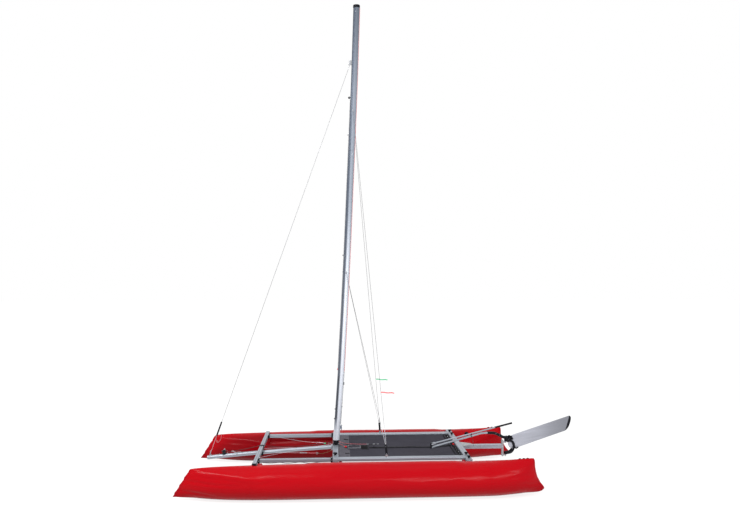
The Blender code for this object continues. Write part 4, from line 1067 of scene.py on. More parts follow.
def bowsprit():
    """The sprit tube with its end, forestay shackle, furler and the rings on it."""
    path = [(x, 0, z) for x, z in SPRIT_LINE]
    rings = []
    for first, second in zip(path, path[1:]):
        rings += [np.linspace(first, second, 8)[:-1]]
    line = np.vstack([*rings, [path[-1]]])
    tube = Shape().run(line, circle(0.025, 40))
    tip = aim((1.690, 0, 0.281), (0.490, 0, -0.0415))
    tube.turned([(0.0225, -0.002), (0.0225, 0.0006), (0.0205, 0.0012)], tip, 32, paint=1)
    for x in (0.520, 1.240):
        tube.bolt((x, 0.0, sprit_z(x) + 0.0245), (0.06, 0, 1), 0.0045, 2)
    piece("bowsprit_tube", tube, (ALU_X, ALU_X, NYLON), stands_for=("bowsprit",))

    x, radius = FURLER_X, 0.033
    drum = Shape()
    foot = sprit_z(x) + 0.0255
    at = aim((x, 0, foot), (0.085, 0, 1))
    profile = [
        (0.010, 0.0), (radius, 0.001), (radius + 0.001, 0.003), (radius, 0.0065), (0.019, 0.008),
        (0.018, 0.012), (0.018, 0.031), (0.019, 0.035), (radius, 0.0365), (radius + 0.001, 0.039),
        (radius, 0.0415), (0.012, 0.0435),
    ]
    drum.turned(profile, at, 40)
    for k in range(8):
        drum.hoop(at @ Vector((0, 0, 0.0115 + 0.0028 * k)), 0.0200, 0.0020, (0.085, 0, 1), 1, 28, 6)
    drum.turned([(0.012, 0.042), (0.014, 0.046), (0.012, 0.051), (0.006, 0.053)], at, 24, paint=0)
    drum.shackle(at @ Vector((-0.024, 0.003, 0.062)), at @ Vector((-0.004, 0, 0.050)), 0.014, 0.0026, 2)
    drum.line([at @ Vector((-0.022, 0.004, 0.060)), at @ Vector((-0.044, 0.006, 0.058)), at @ Vector((-0.060, 0.004, 0.034))], 0.0026, 2)
    for k in range(8):
        angle = 2 * pi * k / 8
        hole = at @ Matrix.Translation((0.0255 * cos(angle), 0.0255 * sin(angle), 0.0413))
        drum.turned([(0.003, 0), (0.0028, 0.0006)], hole, 12, paint=2)
    guard = [(x - 0.044, y, foot + h) for y, h in ((-0.006, 0.002), (-0.008, 0.018), (-0.006, 0.036))]
    drum.line(guard, 0.0020, 2, spacing=0.004)
    drum.block((x - 0.047, -0.006, foot - 0.001), (x - 0.028, 0.006, foot + 0.004), 0.001, 2)
    piece("furler", drum, (NYLON, LINE_BLACK, STEEL), stands_for=("furler_drum",))

    rings = Shape()
    for at, tilt, thick in ((1.540, 0.10, 0.0018), (1.318, 0.25, 0.0022), (1.296, -0.15, 0.0022), (1.640, 0.05, 0.0020)):
        axis = Vector((1, 0, -0.08 + tilt))
        rings.hoop((at, 0, sprit_z(at) + 0.003), 0.0285, thick, axis, steps=32)
    foot, top = (1.318, 0.006, sprit_z(1.318) + 0.030), (1.352, 0.010, sprit_z(1.352) + 0.052)
    rings.shackle(top, foot, 0.012, 0.0022)
    rings.hoop((1.362, 0.010, sprit_z(1.36) + 0.055), 0.009, 0.0016, (0.2, 1, 0.1))
    rings.line([(1.296, 0.004, 0.345), (1.262, 0.012, 0.352), (1.232, 0.018, 0.344)], 0.0026)
    rings.shackle((1.654, 0, 0.362), (1.654, 0, 0.330), 0.012, 0.0022)
    rings.hoop((1.650, 0, 0.369), 0.007, 0.0016, (1, 0, 0.3))
    piece("sprit_rings", rings, (STEEL,))


FURLER_X = 1.472
bowsprit()

# Trampoline
TRAMP_X = (-1.6136, -0.0364)
TRAMP_HALF = 0.5770
TRAMP_TOP = 0.4055


# Sag of the trampoline: how deep, and its share at shares of the way from the middle to an edge
SAG = 0.028
SAG_ALONG = ((0.0, 1.0), (0.45, 0.99), (0.66, 0.92), (0.80, 0.74), (0.90, 0.47), (1.0, 0.0))
SAG_ACROSS = ((0.0, 1.0), (0.40, 1.0), (0.60, 0.80), (0.80, 0.45), (1.0, 0.0))


def sag_share(table, share):
    at, depth = np.array(table).T
    return smooth_table(at, depth[:, None], share.ravel())[:, 0].reshape(share.shape)


def tramp_z(x, y):
    """Height of the trampoline's upper face: it hangs between the beams, and ripples at its ends."""
    x, y = np.broadcast_arrays(np.asarray(x, float), np.asarray(y, float))
    middle, half = sum(TRAMP_X) / 2, (TRAMP_X[1] - TRAMP_X[0]) / 2
    along = sag_share(SAG_ALONG, np.minimum(np.abs(x - middle) / half, 1))
    across = sag_share(SAG_ACROSS, np.minimum(np.abs(y) / TRAMP_HALF, 1))
    ahead, astern = TRAMP_X[1] - x, x - TRAMP_X[0]
    ripple = 0.0010 * np.sin(38 * y + 3 * x) * np.exp(-ahead / 0.28)
    ripple = ripple + 0.0012 * np.sin(30 * y - 4 * x) * np.exp(-astern / 0.24)
    ripple = ripple + 0.0006 * np.sin(11 * x + 7 * y)
    edge = np.clip((TRAMP_HALF - np.abs(y)) / 0.08, 0, 1) * np.clip(np.minimum(ahead, astern) / 0.06, 0, 1)
    return TRAMP_TOP - SAG * along * across + ripple * edge


def cloth(x_range, y_range, steps, lift=0.0, thick=0.0022):
    """A sheet that follows the trampoline, as closed rings across it."""
    xs = np.linspace(*x_range, steps[0])
    ys = np.linspace(*y_range, steps[1])
    rings = []
    for x in xs:
        top = np.stack([np.full(len(ys), x), ys, tramp_z(x, ys) + lift], axis=1)
        low = top[::-1] - np.array([0, 0, thick])
        rings.append(np.vstack([top, low]))
    return rings


def on_tramp(points, lift=0.001):
    return [(x, y, float(tramp_z(x, y)) + lift) for x, y in points]


def arc_length(x, z):
    return float(np.hypot(np.diff(x), np.diff(z)).sum())


def trampoline():
    """The laced cloth with its front panel, hems, slots, straps and lacing."""
    main = Shape().skin(cloth(TRAMP_X, (-TRAMP_HALF, TRAMP_HALF), (130, 90)))
    made = piece("trampoline_cloth", main, (CLOTH,), stands_for=("trampoline",))
    trims = Shape()
    trims.skin(cloth((-0.186, -0.0368), (-0.575, 0.575), (18, 60), 0.0011, 0.0010), 1)
    for side in (1, -1):
        edge = sorted((side * 0.5765, side * 0.550))
        trims.skin(cloth((-1.60, -0.19), edge, (90, 4), 0.0010, 0.0009), 0)
    trims.skin(cloth((-1.600, -1.560), (-0.575, 0.575), (6, 60), 0.0012, 0.0011), 2)
    trims.skin(cloth((-1.545, -1.528), (-0.575, 0.575), (4, 60), 0.0010, 0.0009), 2)
    for x in (-0.182, -0.176, -0.060, -0.1225):
        trims.stitches(on_tramp([(x, y) for y in np.linspace(-0.57, 0.57, 9)], 0.0014), 3)
    for y in (-0.553, 0.553, -0.572, 0.572):
        trims.stitches(on_tramp([(x, y) for x in np.linspace(-1.55, -0.20, 9)], 0.0013), 3)
    for x in (-1.564, -1.596):
        trims.stitches(on_tramp([(x, y) for y in np.linspace(-0.57, 0.57, 9)], 0.0015), 3)
    for x, y in ((-0.145, -0.384), (-0.152, 0.311), (-0.150, -0.158)):
        skew = 0.33 * np.sign(y)
        strap = [(x - 0.026, y - 0.030 * skew), (x, y), (x + 0.026, y + 0.030 * skew)]
        trims.run(np.array(on_tramp(strap, 0.0022)), rounded(0.034, 0.003, 0.001), 2)
        trims.stitches(on_tramp([(x - 0.03, y + 0.02), (x + 0.03, y + 0.02)], 0.0014), 3)
        trims.stitches(on_tramp([(x - 0.03, y - 0.02), (x + 0.03, y - 0.02)], 0.0014), 3)
    trim = piece("trampoline_trim", trims, (CLOTH, CLOTH_PALE, WEB, THREAD))
    ys, xs = np.linspace(-TRAMP_HALF, TRAMP_HALF, 200), np.linspace(*TRAMP_X, 200)
    flat = arc_length(ys, tramp_z(-0.825, ys)), arc_length(xs, tramp_z(xs, 0.0))

    lacing = Shape()
    ys = np.arange(-0.55, 0.551, 0.05)
    zigzag = []
    for k, y in enumerate(ys):
        x, lift = (-1.590, 0.004) if k % 2 == 0 else (-1.6115, 0.006)
        zigzag.append((x, y, float(tramp_z(x, y)) + lift))
    lacing.line(zigzag, 0.0022, 0, 6, 0.008)
    for y in ys[::2]:
        lacing.hoop((-1.590, y, float(tramp_z(-1.590, y)) + 0.0015), 0.006, 0.0012, (0, 0, 1), 1, 16, 6)
    piece("trampoline_lacing", lacing, (LINE_BLACK, STEEL))


# Pouch on the trampoline: first and last X, right and left Y
POUCH = (-0.440, -0.165, -0.105, 0.105)


def pouch_z(x, y):
    """Height of the pouch's upper face."""
    u = np.clip((x - POUCH[0]) / (POUCH[1] - POUCH[0]), 0.02, 0.98)
    v = np.clip((y - POUCH[2]) / (POUCH[3] - POUCH[2]), 0, 1)
    belly = np.sin(pi * v) ** 0.6 * np.sin(pi * u) ** 0.4
    dip = 0.35 * np.exp(-(((u - 0.70) / 0.2) ** 2)) * np.exp(-(((v - 0.45) / 0.3) ** 2))
    fold = 0.0012 * np.sin(40 * x + 25 * y) + 0.0008 * np.sin(90 * y - 30 * x)
    return tramp_z(x, y) + 0.0021 + belly * (0.0155 * (1 - dip) + fold)


def deck_gear():
    """Hiking strap, sheet pouch, cleats and lines on the trampoline."""
    strap = Shape()
    route = [(-0.452, 0.0), (-0.62, 0.003), (-0.92, 0.002), (-1.28, 0.015), (-1.42, 0.004), (-1.548, 0.0)]
    path = spline(on_tramp(route, 0.0035), 0.012)
    wave = np.array([[0, 0, 0.0012 * (1 + sin(17 * x))] for x, _, _ in path])
    strap.run(path + wave, rounded(0.048, 0.003, 0.0012), 0)
    for y in (-0.018, 0.018):
        strap.stitches([(x, y + middle, z + 0.0028) for x, middle, z in (path + wave)[::6]], 1)
    for x, y in ((-1.30, 0.014), (-0.52, 0.001)):
        z = float(tramp_z(x, 0.0))
        strap.block((x - 0.020, y - 0.0245, z + 0.001), (x + 0.020, y + 0.0245, z + 0.0085), 0.002, 0)
    z = float(tramp_z(-1.588, 0.0))
    strap.run(np.linspace((-1.548, 0, z + 0.0040), (-1.592, 0, z + 0.0050), 6), rounded(0.022, 0.0026, 0.001), 0)
    strap.block((-1.600, -0.020, z + 0.004), (-1.576, 0.008, z + 0.014), 0.003, 2)
    strap.block((-1.594, -0.022, z + 0.012), (-1.582, 0.010, z + 0.018), 0.0025, 2)
    piece("hiking_strap", strap, (WEB, THREAD, RED_NYLON), stands_for=("foot_strap",))

    pouch = Shape()
    ys, rings = np.linspace(POUCH[2], POUCH[3], 32), []
    for x in np.linspace(POUCH[0], POUCH[1], 40):
        across = np.full(len(ys), x)
        top = np.stack([across, ys, pouch_z(x, ys)], axis=1)
        low = np.stack([across, ys, tramp_z(x, ys) + 0.0006], axis=1)
        rings.append(np.vstack([top, low[::-1]]))
    pouch.skin(rings, 0)
    mouth = [(-0.170, -0.093), (-0.170, 0.062), (-0.330, 0.062), (-0.330, -0.093)]
    for (x, y), (next_x, next_y) in zip(mouth, mouth[1:] + mouth[:1]):
        steps = np.linspace((x, y), (next_x, next_y), 14)
        pouch.line([(a, b, float(pouch_z(a, b)) + 0.0015) for a, b in steps], 0.0026, 1, 8, 0.01)
    # A black flap over the pouch's aft end: partly a flap, partly painted shadow of the pouch.
    flap = [
        np.vstack([
            np.stack([np.full(12, x), edge, pouch_z(x, edge) + 0.0014], axis=1),
            np.stack([np.full(12, x), edge, pouch_z(x, edge) + 0.0002], axis=1)[::-1],
        ])
        for x in np.linspace(-0.436, -0.337, 12)
        for edge in [np.linspace(-0.096, 0.096, 12)]
    ]
    pouch.skin(flap, 3)
    for x in (-0.342, -0.430):
        pouch.stitches([(x, y, float(pouch_z(x, y)) + 0.0016) for y in np.linspace(-0.09, 0.09, 9)], 2)
    piece("sheet_pocket", pouch, (CLOTH, WEB_GREY, THREAD, WEB), stands_for=("sheet_pouch",))

    lines = Shape()
    fall = [(-0.300, -0.176), (-0.422, -0.179)]
    lines.line([(-0.040, -0.150, 0.432), (-0.128, -0.128, 0.410), *on_tramp(fall, 0.004)], 0.0022, 0)
    lines.line([(-0.040, -0.030, 0.440), (-0.085, -0.005, 0.420), (-0.125, 0.014, 0.404)], 0.0022, 0)
    lines.line(on_tramp([(-0.440, -0.179), (-0.50, -0.175), (-0.60, -0.180)], 0.0035), 0.0024, 1)
    for x in (-0.436, -0.520, -0.575):
        z = float(tramp_z(x, -0.178))
        lines.shackle((x - 0.018, -0.177, z + 0.005), (x + 0.008, -0.177, z + 0.004), 0.012, 0.0022, 2)
    z = float(tramp_z(-0.138, 0.024))
    lines.block((-0.158, 0.008, z + 0.001), (-0.118, 0.040, z + 0.008), 0.003, 3)
    lines.turned([(0.014, 0.0), (0.015, 0.004), (0.012, 0.010), (0.006, 0.012)], aim((-0.137, 0.024, z + 0.008)), 24, paint=4)
    lines.block((-0.150, 0.020, z + 0.006), (-0.126, 0.028, z + 0.024), 0.003, 4)
    route = [(-0.160, 0.026), (-0.210, -0.050), (-0.300, -0.090), (-0.460, -0.078), (-0.520, -0.058)]
    lines.line([(x, y, float(pouch_z(x, y)) + 0.004) for x, y in route], 0.0022, 1)
    piece("trampoline_lines", lines, (LINE_RED, LINE_BLACK, STEEL, NYLON, RED_NYLON))


trampoline()
deck_gear()

# Mast: height, and how far forward its middle is there
MAST_LINE = (
    (0.490, -0.010), (1.360, -0.068), (2.200, -0.112), (3.030, -0.151),
    (3.890, -0.186), (4.660, -0.218), (5.400, -0.246), (6.378, -0.275),
)
MAST_CHORD, MAST_WIDTH = 0.085, 0.058


def mast_x(z):
    heights, steps = np.array(MAST_LINE).T
    return float(np.interp(z, heights, steps))


def mast_section():
    """The mast's outline, X forward and Y across, with the sail groove behind."""
    half_x, half_y = MAST_CHORD / 2, MAST_WIDTH / 2
    mouth, depth, width = 0.0022, 0.011, 0.0045
    turn = np.linspace(-pi + 0.10, pi - 0.10, 61)
    outer = [(half_x * cos(t), half_y * sin(t)) for t in turn]
    back = -half_x
    groove = [
        (back + 0.0004, mouth), (back + 0.004, mouth), (back + 0.0055, width), (back + depth, width * 0.7),
        (back + depth + 0.001, 0), (back + depth, -width * 0.7), (back + 0.0055, -width),
        (back + 0.004, -mouth), (back + 0.0004, -mouth),
    ]
    return np.array(outer + groove)


def mast():
    """The mast profile, its joints, rivets, halyards and fittings."""
    section = mast_section()
    levels = np.unique(np.concatenate([np.linspace(0.490, 6.338, 48), [z for z, _ in MAST_LINE[:-1]]]))
    rings = [[(mast_x(z) + x, y, z) for x, y in section] for z in levels]
    profile = Shape().skin(rings)
    piece("mast_profile", profile, (MAST,), stands_for=("mast",), sharp=50)

    trim = Shape()
    for joint in (2.42, 4.38):
        for z in (joint - 0.002, joint + 0.002):
            ring = [(mast_x(z) + (MAST_CHORD / 2 + 0.0007) * cos(t), (MAST_WIDTH / 2 + 0.0007) * sin(t), z)
                    for t in np.linspace(-2.85, 2.85, 48)]
            trim.run(np.array(ring), circle(0.0009, 6), 0)
    for z in np.concatenate([np.array([0.56, 0.60]), np.array([2.36, 2.48, 4.32, 4.44, 6.28])]):
        for sign in (1, -1):
            for dx in (-0.014, 0.014):
                place = (mast_x(z) + dx, sign * (MAST_WIDTH / 2 - 0.0016), z)
                trim.turned([(0.0028, 0), (0.0026, 0.0018), (0.0014, 0.0026)], aim(place, (0, sign, 0)), 12, paint=1)
    piece("mast_joints", trim, (MAST, STEEL))
    mast_fittings()
    halyards()


def mast_fittings():
    """Foot, tangs, blocks, cleats and the cap's sheave."""
    foot = Shape()
    turn = 2 * pi * np.arange(48) / 48
    cup = []
    for height, grow in ((0.4387, 0.0), (0.4389, 0.001), (0.448, 0.0), (0.4485, -0.002), (0.470, -0.003),
                         (0.4705, 0.0), (0.4855, 0.0), (0.4885, -0.001)):
        cup.append([
            (-0.004 + (0.0375 + grow) * cos(t), (0.0285 + grow) * sin(t), height) for t in turn
        ])
    foot.skin(cup, 0)
    for x in (-0.030, 0.024):
        for sign in (1, -1):
            foot.bolt((x, sign * 0.024, 0.4386), (0, 0, 1), 0.0038, 1)
    for sign in (1, -1):
        foot.knob((0.006, sign * 0.030, 0.462), 0.015, 0.020, 0, 5, (0, sign, 0))
        foot.line([(-0.026, sign * 0.030, 0.450), (0.0, sign * 0.036, 0.452), (0.030, sign * 0.030, 0.450)], 0.004, 0)
    foot.line([(-0.036, -0.026, 0.445), (-0.046, 0.0, 0.447), (-0.036, 0.026, 0.445)], 0.0028, 1)
    piece("mast_foot_fittings", foot, (NYLON, STEEL))

    gear = Shape()
    front = MAST_CHORD / 2
    for z, size in ((5.100, 1.0), (4.590, 0.55), (2.960, 0.55)):
        x = mast_x(z) + front
        gear.block((x - 0.002, -0.010, z - 0.030 * size), (x + 0.004, 0.010, z + 0.030 * size), 0.0015, 1)
        for sign in (1, -1):
            cheek = [(0.013 * size, -0.0012), (0.014 * size, 0.0), (0.013 * size, 0.0012)]
            gear.turned(cheek, aim((x + 0.016 * size, sign * 0.007, z), (0, 1, 0)), 28, paint=0)
        wheel = [(0.0115 * size, -0.004), (0.009 * size, -0.001), (0.009 * size, 0.001), (0.0115 * size, 0.004)]
        gear.turned(wheel, aim((x + 0.016 * size, 0, z), (0, 1, 0)), 28, paint=1)
    piece("halyard_blocks", gear, (NYLON, STEEL), stands_for=("halyard_block",))

    cleat = Shape()
    z, x = 0.660, mast_x(0.660) - front
    cleat.block((x - 0.004, -0.008, z - 0.030), (x + 0.002, 0.008, z + 0.030), 0.002, 0)
    cleat.block((x - 0.016, -0.006, z - 0.012), (x - 0.002, 0.006, z + 0.012), 0.002, 0)
    horn = [(x - 0.015, 0, z - 0.046), (x - 0.015, 0, z - 0.028), (x - 0.013, 0, z - 0.004), (x - 0.017, 0, z + 0.014), (x - 0.022, 0, z + 0.030)]
    path = spline(horn, 0.004)
    sizes = np.interp(np.linspace(0, 1, len(path)), [0, 0.1, 0.5, 0.9, 1], [0.003, 0.005, 0.0062, 0.005, 0.003])
    cleat.run(path, np.stack([circle(size, 12) for size in sizes]), 0)
    for dz in (-0.022, 0.022):
        cleat.turned([(0.0038, 0), (0.0034, 0.0016), (0.002, 0.002)], aim((x - 0.004, 0, z + dz), (-1, 0, 0)), 16, paint=1)
    piece("horn_cleat", cleat, (BLUE_GREY, STEEL), stands_for=("mast_cleat",))

    head = Shape()
    for band_z in (4.925, 2.735):
        for sign in (1, -1):
            y = sign * (MAST_WIDTH / 2 + 0.0045)
            x = mast_x(band_z)
            head.block((x - 0.007, min(y, y + sign * 0.0025), band_z - 0.020), (x + 0.007, max(y, y + sign * 0.0025), band_z + 0.006), 0.001)
            head.hoop((x, y + sign * 0.003, band_z - 0.018), 0.006, 0.0016, (1, 0, 0.1), steps=18)
        head.bolt((mast_x(band_z) + front + 0.004, 0, band_z), (1, 0, 0), 0.003)
    z = 5.575
    x = mast_x(z) + front
    head.shackle((x + 0.020, 0, z + 0.006), (x + 0.0395, 0, z - 0.022), 0.014, 0.0022)
    cap_z = 6.372
    head.turned([(0.0125, -0.004), (0.0095, -0.001), (0.0095, 0.001), (0.0125, 0.004)], aim((mast_x(cap_z) - 0.036, 0, cap_z - 0.016), (0, 1, 0)), 28)
    piece("masthead_fittings", head, (STEEL,))


def halyards():
    """Halyards and small things along the mast."""
    shape = Shape()
    front, back = MAST_CHORD / 2 + 0.0035, -MAST_CHORD / 2 - 0.0032

    def up_mast(step, zs, y=0.0):
        return [(mast_x(z) + step, y, z) for z in zs]

    shape.line(up_mast(back - 0.002, np.linspace(6.335, 1.40, 24), 0.005), 0.0024, 0, spacing=0.06)
    shape.line(up_mast(back - 0.001, np.linspace(6.335, 0.70, 24), -0.006), 0.0028, 1, spacing=0.06)
    shape.line(up_mast(front, np.linspace(5.08, 1.44, 18), 0.003), 0.0018, 1, spacing=0.06)
    side_y, side_x = 0.0245, 0.026
    shape.line(up_mast(side_x, np.linspace(1.34, 0.77, 12), side_y), 0.0045, 2, spacing=0.02)
    shape.shackle((mast_x(1.36) + back, 0.004, 1.372), (mast_x(1.345) + back, 0.004, 1.345), 0.010, 0.0020, 3)
    for z, size, step, paint in ((1.430, 0.010, front, 0), (0.930, 0.007, back, 2), (0.900, 0.007, front, 2), (0.773, 0.008, front, 2)):
        at = aim((mast_x(z) + step, 0, z))
        knot = [(size * 0.4, -size), (size * 0.9, -size * 0.6), (size, 0), (size * 0.9, size * 0.6), (size * 0.4, size)]
        shape.turned(knot, at, 20, 5, 0.2, paint)
    x = mast_x(1.24) + back
    shape.block((x - 0.010, -0.007, 1.222), (x + 0.001, 0.007, 1.258), 0.003, 4)
    x = mast_x(0.69) + back
    wraps = [(x - 0.012 - 0.006 * sin(k), 0.011 * cos(k), 0.640 + 0.0045 * k) for k in np.arange(0, 12.6, 0.5)]
    shape.line(wraps, 0.0020, 1, spacing=0.006)
    piece("halyards", shape, (LINE_RED, LINE_GREY, LINE_BLACK, STEEL, NYLON))


BLUE_GREY = moulded_nylon("blue-grey plastic", (0.10, 0.13, 0.19))
mast()

# Stays
FORESTAY_TOP = Vector((-0.182, 0.0, 5.5445))
FORESTAY_FOOT = Vector((1.654, 0.0, 0.3312))
CHAINPLATE = Vector((-0.637, RAIL_Y, 0.452))
UPPER_BAND_Z = 4.925
ADJUSTER_LENGTH = 0.130


def adjuster(shape, foot, head, width=0.019, across=(1, 0, 0)):
    """A stay adjuster: two drilled plates with pins, rings and a wire eye."""
    way = (head - foot).normalized()
    side = Vector(across)
    side = (side - side.dot(way) * way).normalized()
    out = way.cross(side)
    turn = Matrix((side, out, way)).transposed().to_4x4()
    length = (head - foot).length
    at = Matrix.Translation(foot) @ turn
    shape.block((-width / 2, -0.0055, 0.010), (width / 2, 0.0055, length - 0.004), 0.0022, 0, at)
    for face in (-1, 1):
        for k in range(7):
            for column in (-0.0045, 0.0045):
                hole = at @ Matrix.Translation((column, face * 0.0055, 0.022 + 0.0145 * k + (0.007 if column > 0 else 0)))
                hole = hole @ Matrix.Rotation(-face * pi / 2, 4, "X")
                shape.turned([(0.0024, 0), (0.0022, 0.0003)], hole, 12, paint=2)
    for z in (0.018, length - 0.030):
        ends = at @ Vector((0, -0.008, z)), at @ Vector((0, 0.008, z))
        shape.line(ends, 0.0024, 1)
        shape.hoop(at @ Vector((0.002, 0.0085, z)), 0.0055, 0.0007, side, 1, 16, 5)
    shape.hoop(at @ Vector((0, 0, length - 0.020)), 0.0065, 0.0017, out, 1, 18, 8, 0.012)
    shape.turned([(0.0022, 0), (0.0026, 0.002), (0.0026, 0.018), (0.0018, 0.020)], at @ Matrix.Translation((0, 0, length - 0.008)), 12, paint=1)
    shape.shackle(at @ Vector((0, 0, 0.020)), at @ Vector((0, 0, -0.004)), 0.008, 0.0019, 1, tuple(out))


def stays():
    """Adjusters, wire ends and telltales on the stays."""
    for side, sign in SIDES:
        foot = Vector((CHAINPLATE.x, sign * CHAINPLATE.y, CHAINPLATE.z))
        top = Vector((mast_x(UPPER_BAND_Z), sign * 0.0356, UPPER_BAND_Z))
        head = foot + (top - foot).normalized() * ADJUSTER_LENGTH
        shape = Shape()
        adjuster(shape, foot, head, 0.027)
        for step in (-0.0045, 0.0045):
            way = (top - head).normalized()
            start_at = head + Vector((step, 0, 0)) + way * 0.004
            shape.turned([(0.0019, 0), (0.0028, 0.003), (0.0028, 0.030), (0.0019, 0.034)], aim(start_at, way), 12, paint=1)
        shape.hoop((foot.x, foot.y, foot.z - 0.010), 0.0060, 0.0018, (0, 1, 0), 1)
        name = "shroud_adjuster_" + side
        piece("stay_adjuster_" + side, shape, (NYLON, STEEL, RUBBER), stands_for=(name,))

        tale = Shape()
        share = (1.21 - head.z) / (top.z - head.z)
        knot = head.lerp(top, share) + Vector((-0.0045, 0, 0))
        tale.turned([(0.0022, -0.005), (0.0036, 0), (0.0022, 0.005)], aim(knot, top - head), 12)
        flutter = [(knot.x, knot.y, knot.z)]
        for k in range(1, 7):
            flutter.append((knot.x - 0.028 * k, knot.y + 0.004 * sin(2.1 * k), knot.z - 0.002 * k + 0.003 * sin(1.7 * k)))
        tale.run(spline(flutter, 0.012), rounded(0.0016, 0.013, 0.0007), 0, (0, 0, 1))
        yarn = TALE_RED if sign > 0 else TALE_GREEN
        piece("telltale_" + side, tale, (yarn,))

    run = FORESTAY_FOOT - FORESTAY_TOP
    low, high = (FORESTAY_TOP + run * ((z - FORESTAY_TOP.z) / run.z) for z in (0.553, 0.750))
    shape = Shape()
    adjuster(shape, low, high, 0.020)
    for at, way in ((high, -run), (FORESTAY_TOP + run * 0.004, run)):
        shape.turned([(0.0022, 0), (0.0028, 0.003), (0.0028, 0.032), (0.0019, 0.036)], aim(at, way), 12, paint=1)
    loop = [(1.549, 0, 0.640), (1.518, 0.004, 0.600), (1.512, 0.006, 0.545), (1.530, 0.004, 0.500),
            (1.556, 0.002, 0.478), (1.574, 0, 0.495), (1.583, 0, 0.535), (1.580, 0, 0.560)]
    shape.line(loop, 0.0015, 1, 6, 0.008)
    piece("stay_adjuster_bow", shape, (NYLON, STEEL, RUBBER), stands_for=("forestay_adjuster",))


stays()


def running_lines():
    """Furling line, bridle wires and small tackle before the mast."""
    furling = Shape()
    route = [(1.447, 0, 0.348), (1.34, 0.004, 0.362), (1.20, 0.004, 0.386), (1.08, 0, 0.410), (1.003, -0.008, 0.4262),
             (0.960, -0.009, 0.4262), (0.86, -0.02, 0.412), (0.66, -0.03, 0.404), (0.475, -0.03, 0.407),
             (0.30, -0.03, 0.420), (0.141, -0.03, 0.438), (0.050, -0.022, 0.458)]
    furling.line(route, 0.0030, 0, 10, 0.012)
    bead = aim((0.141, -0.03, 0.438), (1, 0, -0.15))
    furling.turned([(0.004, -0.011), (0.009, -0.007), (0.011, 0), (0.009, 0.007), (0.004, 0.011)], bead, 24, paint=1)
    piece("furling_line", furling, (LINE_BLACK, GREEN_NYLON))

    wires = Shape()
    for sign in (-1, 1):
        wires.line([(0.955, sign * 0.575, 0.426), (0.62, sign * 0.32, 0.424), (0.359, sign * 0.150, 0.428), (0.060, sign * 0.024, 0.440)], 0.0013, 0, 6, 0.02)
        wires.hoop((0.950, sign * 0.572, 0.4275), 0.007, 0.0014, (0.3, 0, 1), 1, 16, 6)
    for y, tone in ((0.12, 1), (-0.12, 1)):
        wires.line([(0.955, y * 0.5, 0.372), (0.80, y * 0.8, 0.368), (0.623, y, 0.362), (0.47, y, 0.357)], 0.0013, 0, 6, 0.02)
        wires.turned([(0.0035, 0), (0.0045, 0.004), (0.0045, 0.060), (0.0035, 0.064)], aim((0.47, y, 0.357), (-1, 0, -0.02)), 16, paint=tone)
        wires.shackle((0.375, y, 0.3555), (0.400, y, 0.3562), 0.011, 0.0022, 1)
        wires.line([(0.375, y, 0.3555), (0.33, y, 0.353), (0.255, y, 0.350)], 0.0030, 2)
        wires.hoop((0.243, y, 0.349), 0.012, 0.0022, (0.15, 1, 0.1), 3, 20, 6)
        wires.line([(0.231, y, 0.348), (0.165, y, 0.345), (0.050, y, 0.3835)], 0.0013, 4, 6)
    piece("bridle_wires", wires, (WIRE, STEEL, LINE_RED, LINE_GREY, LINE_GREEN))

    ropes = Shape()
    for sign in (1, -1):
        y = sign * RAIL_Y
        slack = [(0.90, y, 0.376), (0.80, y + 0.01, 0.372), (0.685, y, 0.3755), (0.587, y + 0.008, 0.366), (0.439, y, 0.3755),
                 (0.316, y + 0.008, 0.365), (0.20, y, 0.3745), (0.105, y, 0.376)]
        ropes.line(slack, 0.0030, 0, 8, 0.012)
    piece("rail_lashings", ropes, (LINE_BLACK,))


running_lines()


def rudder_fittings():
    """Post details and the steering pins' washers, on the boat."""
    shape = Shape()
    for y in (-0.0035, 0.0035):
        shape.block((-2.2425, y - 0.0006, 0.262), (-2.2412, y + 0.0006, 0.452), 0.0003, 1)
    for z in (0.270, 0.300, 0.352, 0.378, 0.4045, 0.440):
        for sign in (1, -1):
            shape.bolt((-2.256, sign * 0.0141, z), (0, sign, 0), 0.0030)
    for x in (-1.96, -1.74, -2.20):
        for sign in (1, -1):
            shape.bolt((x, sign * 0.0201, 0.380), (0, sign, 0), 0.0032)
    piece("post_fittings", shape, (STEEL, NYLON))


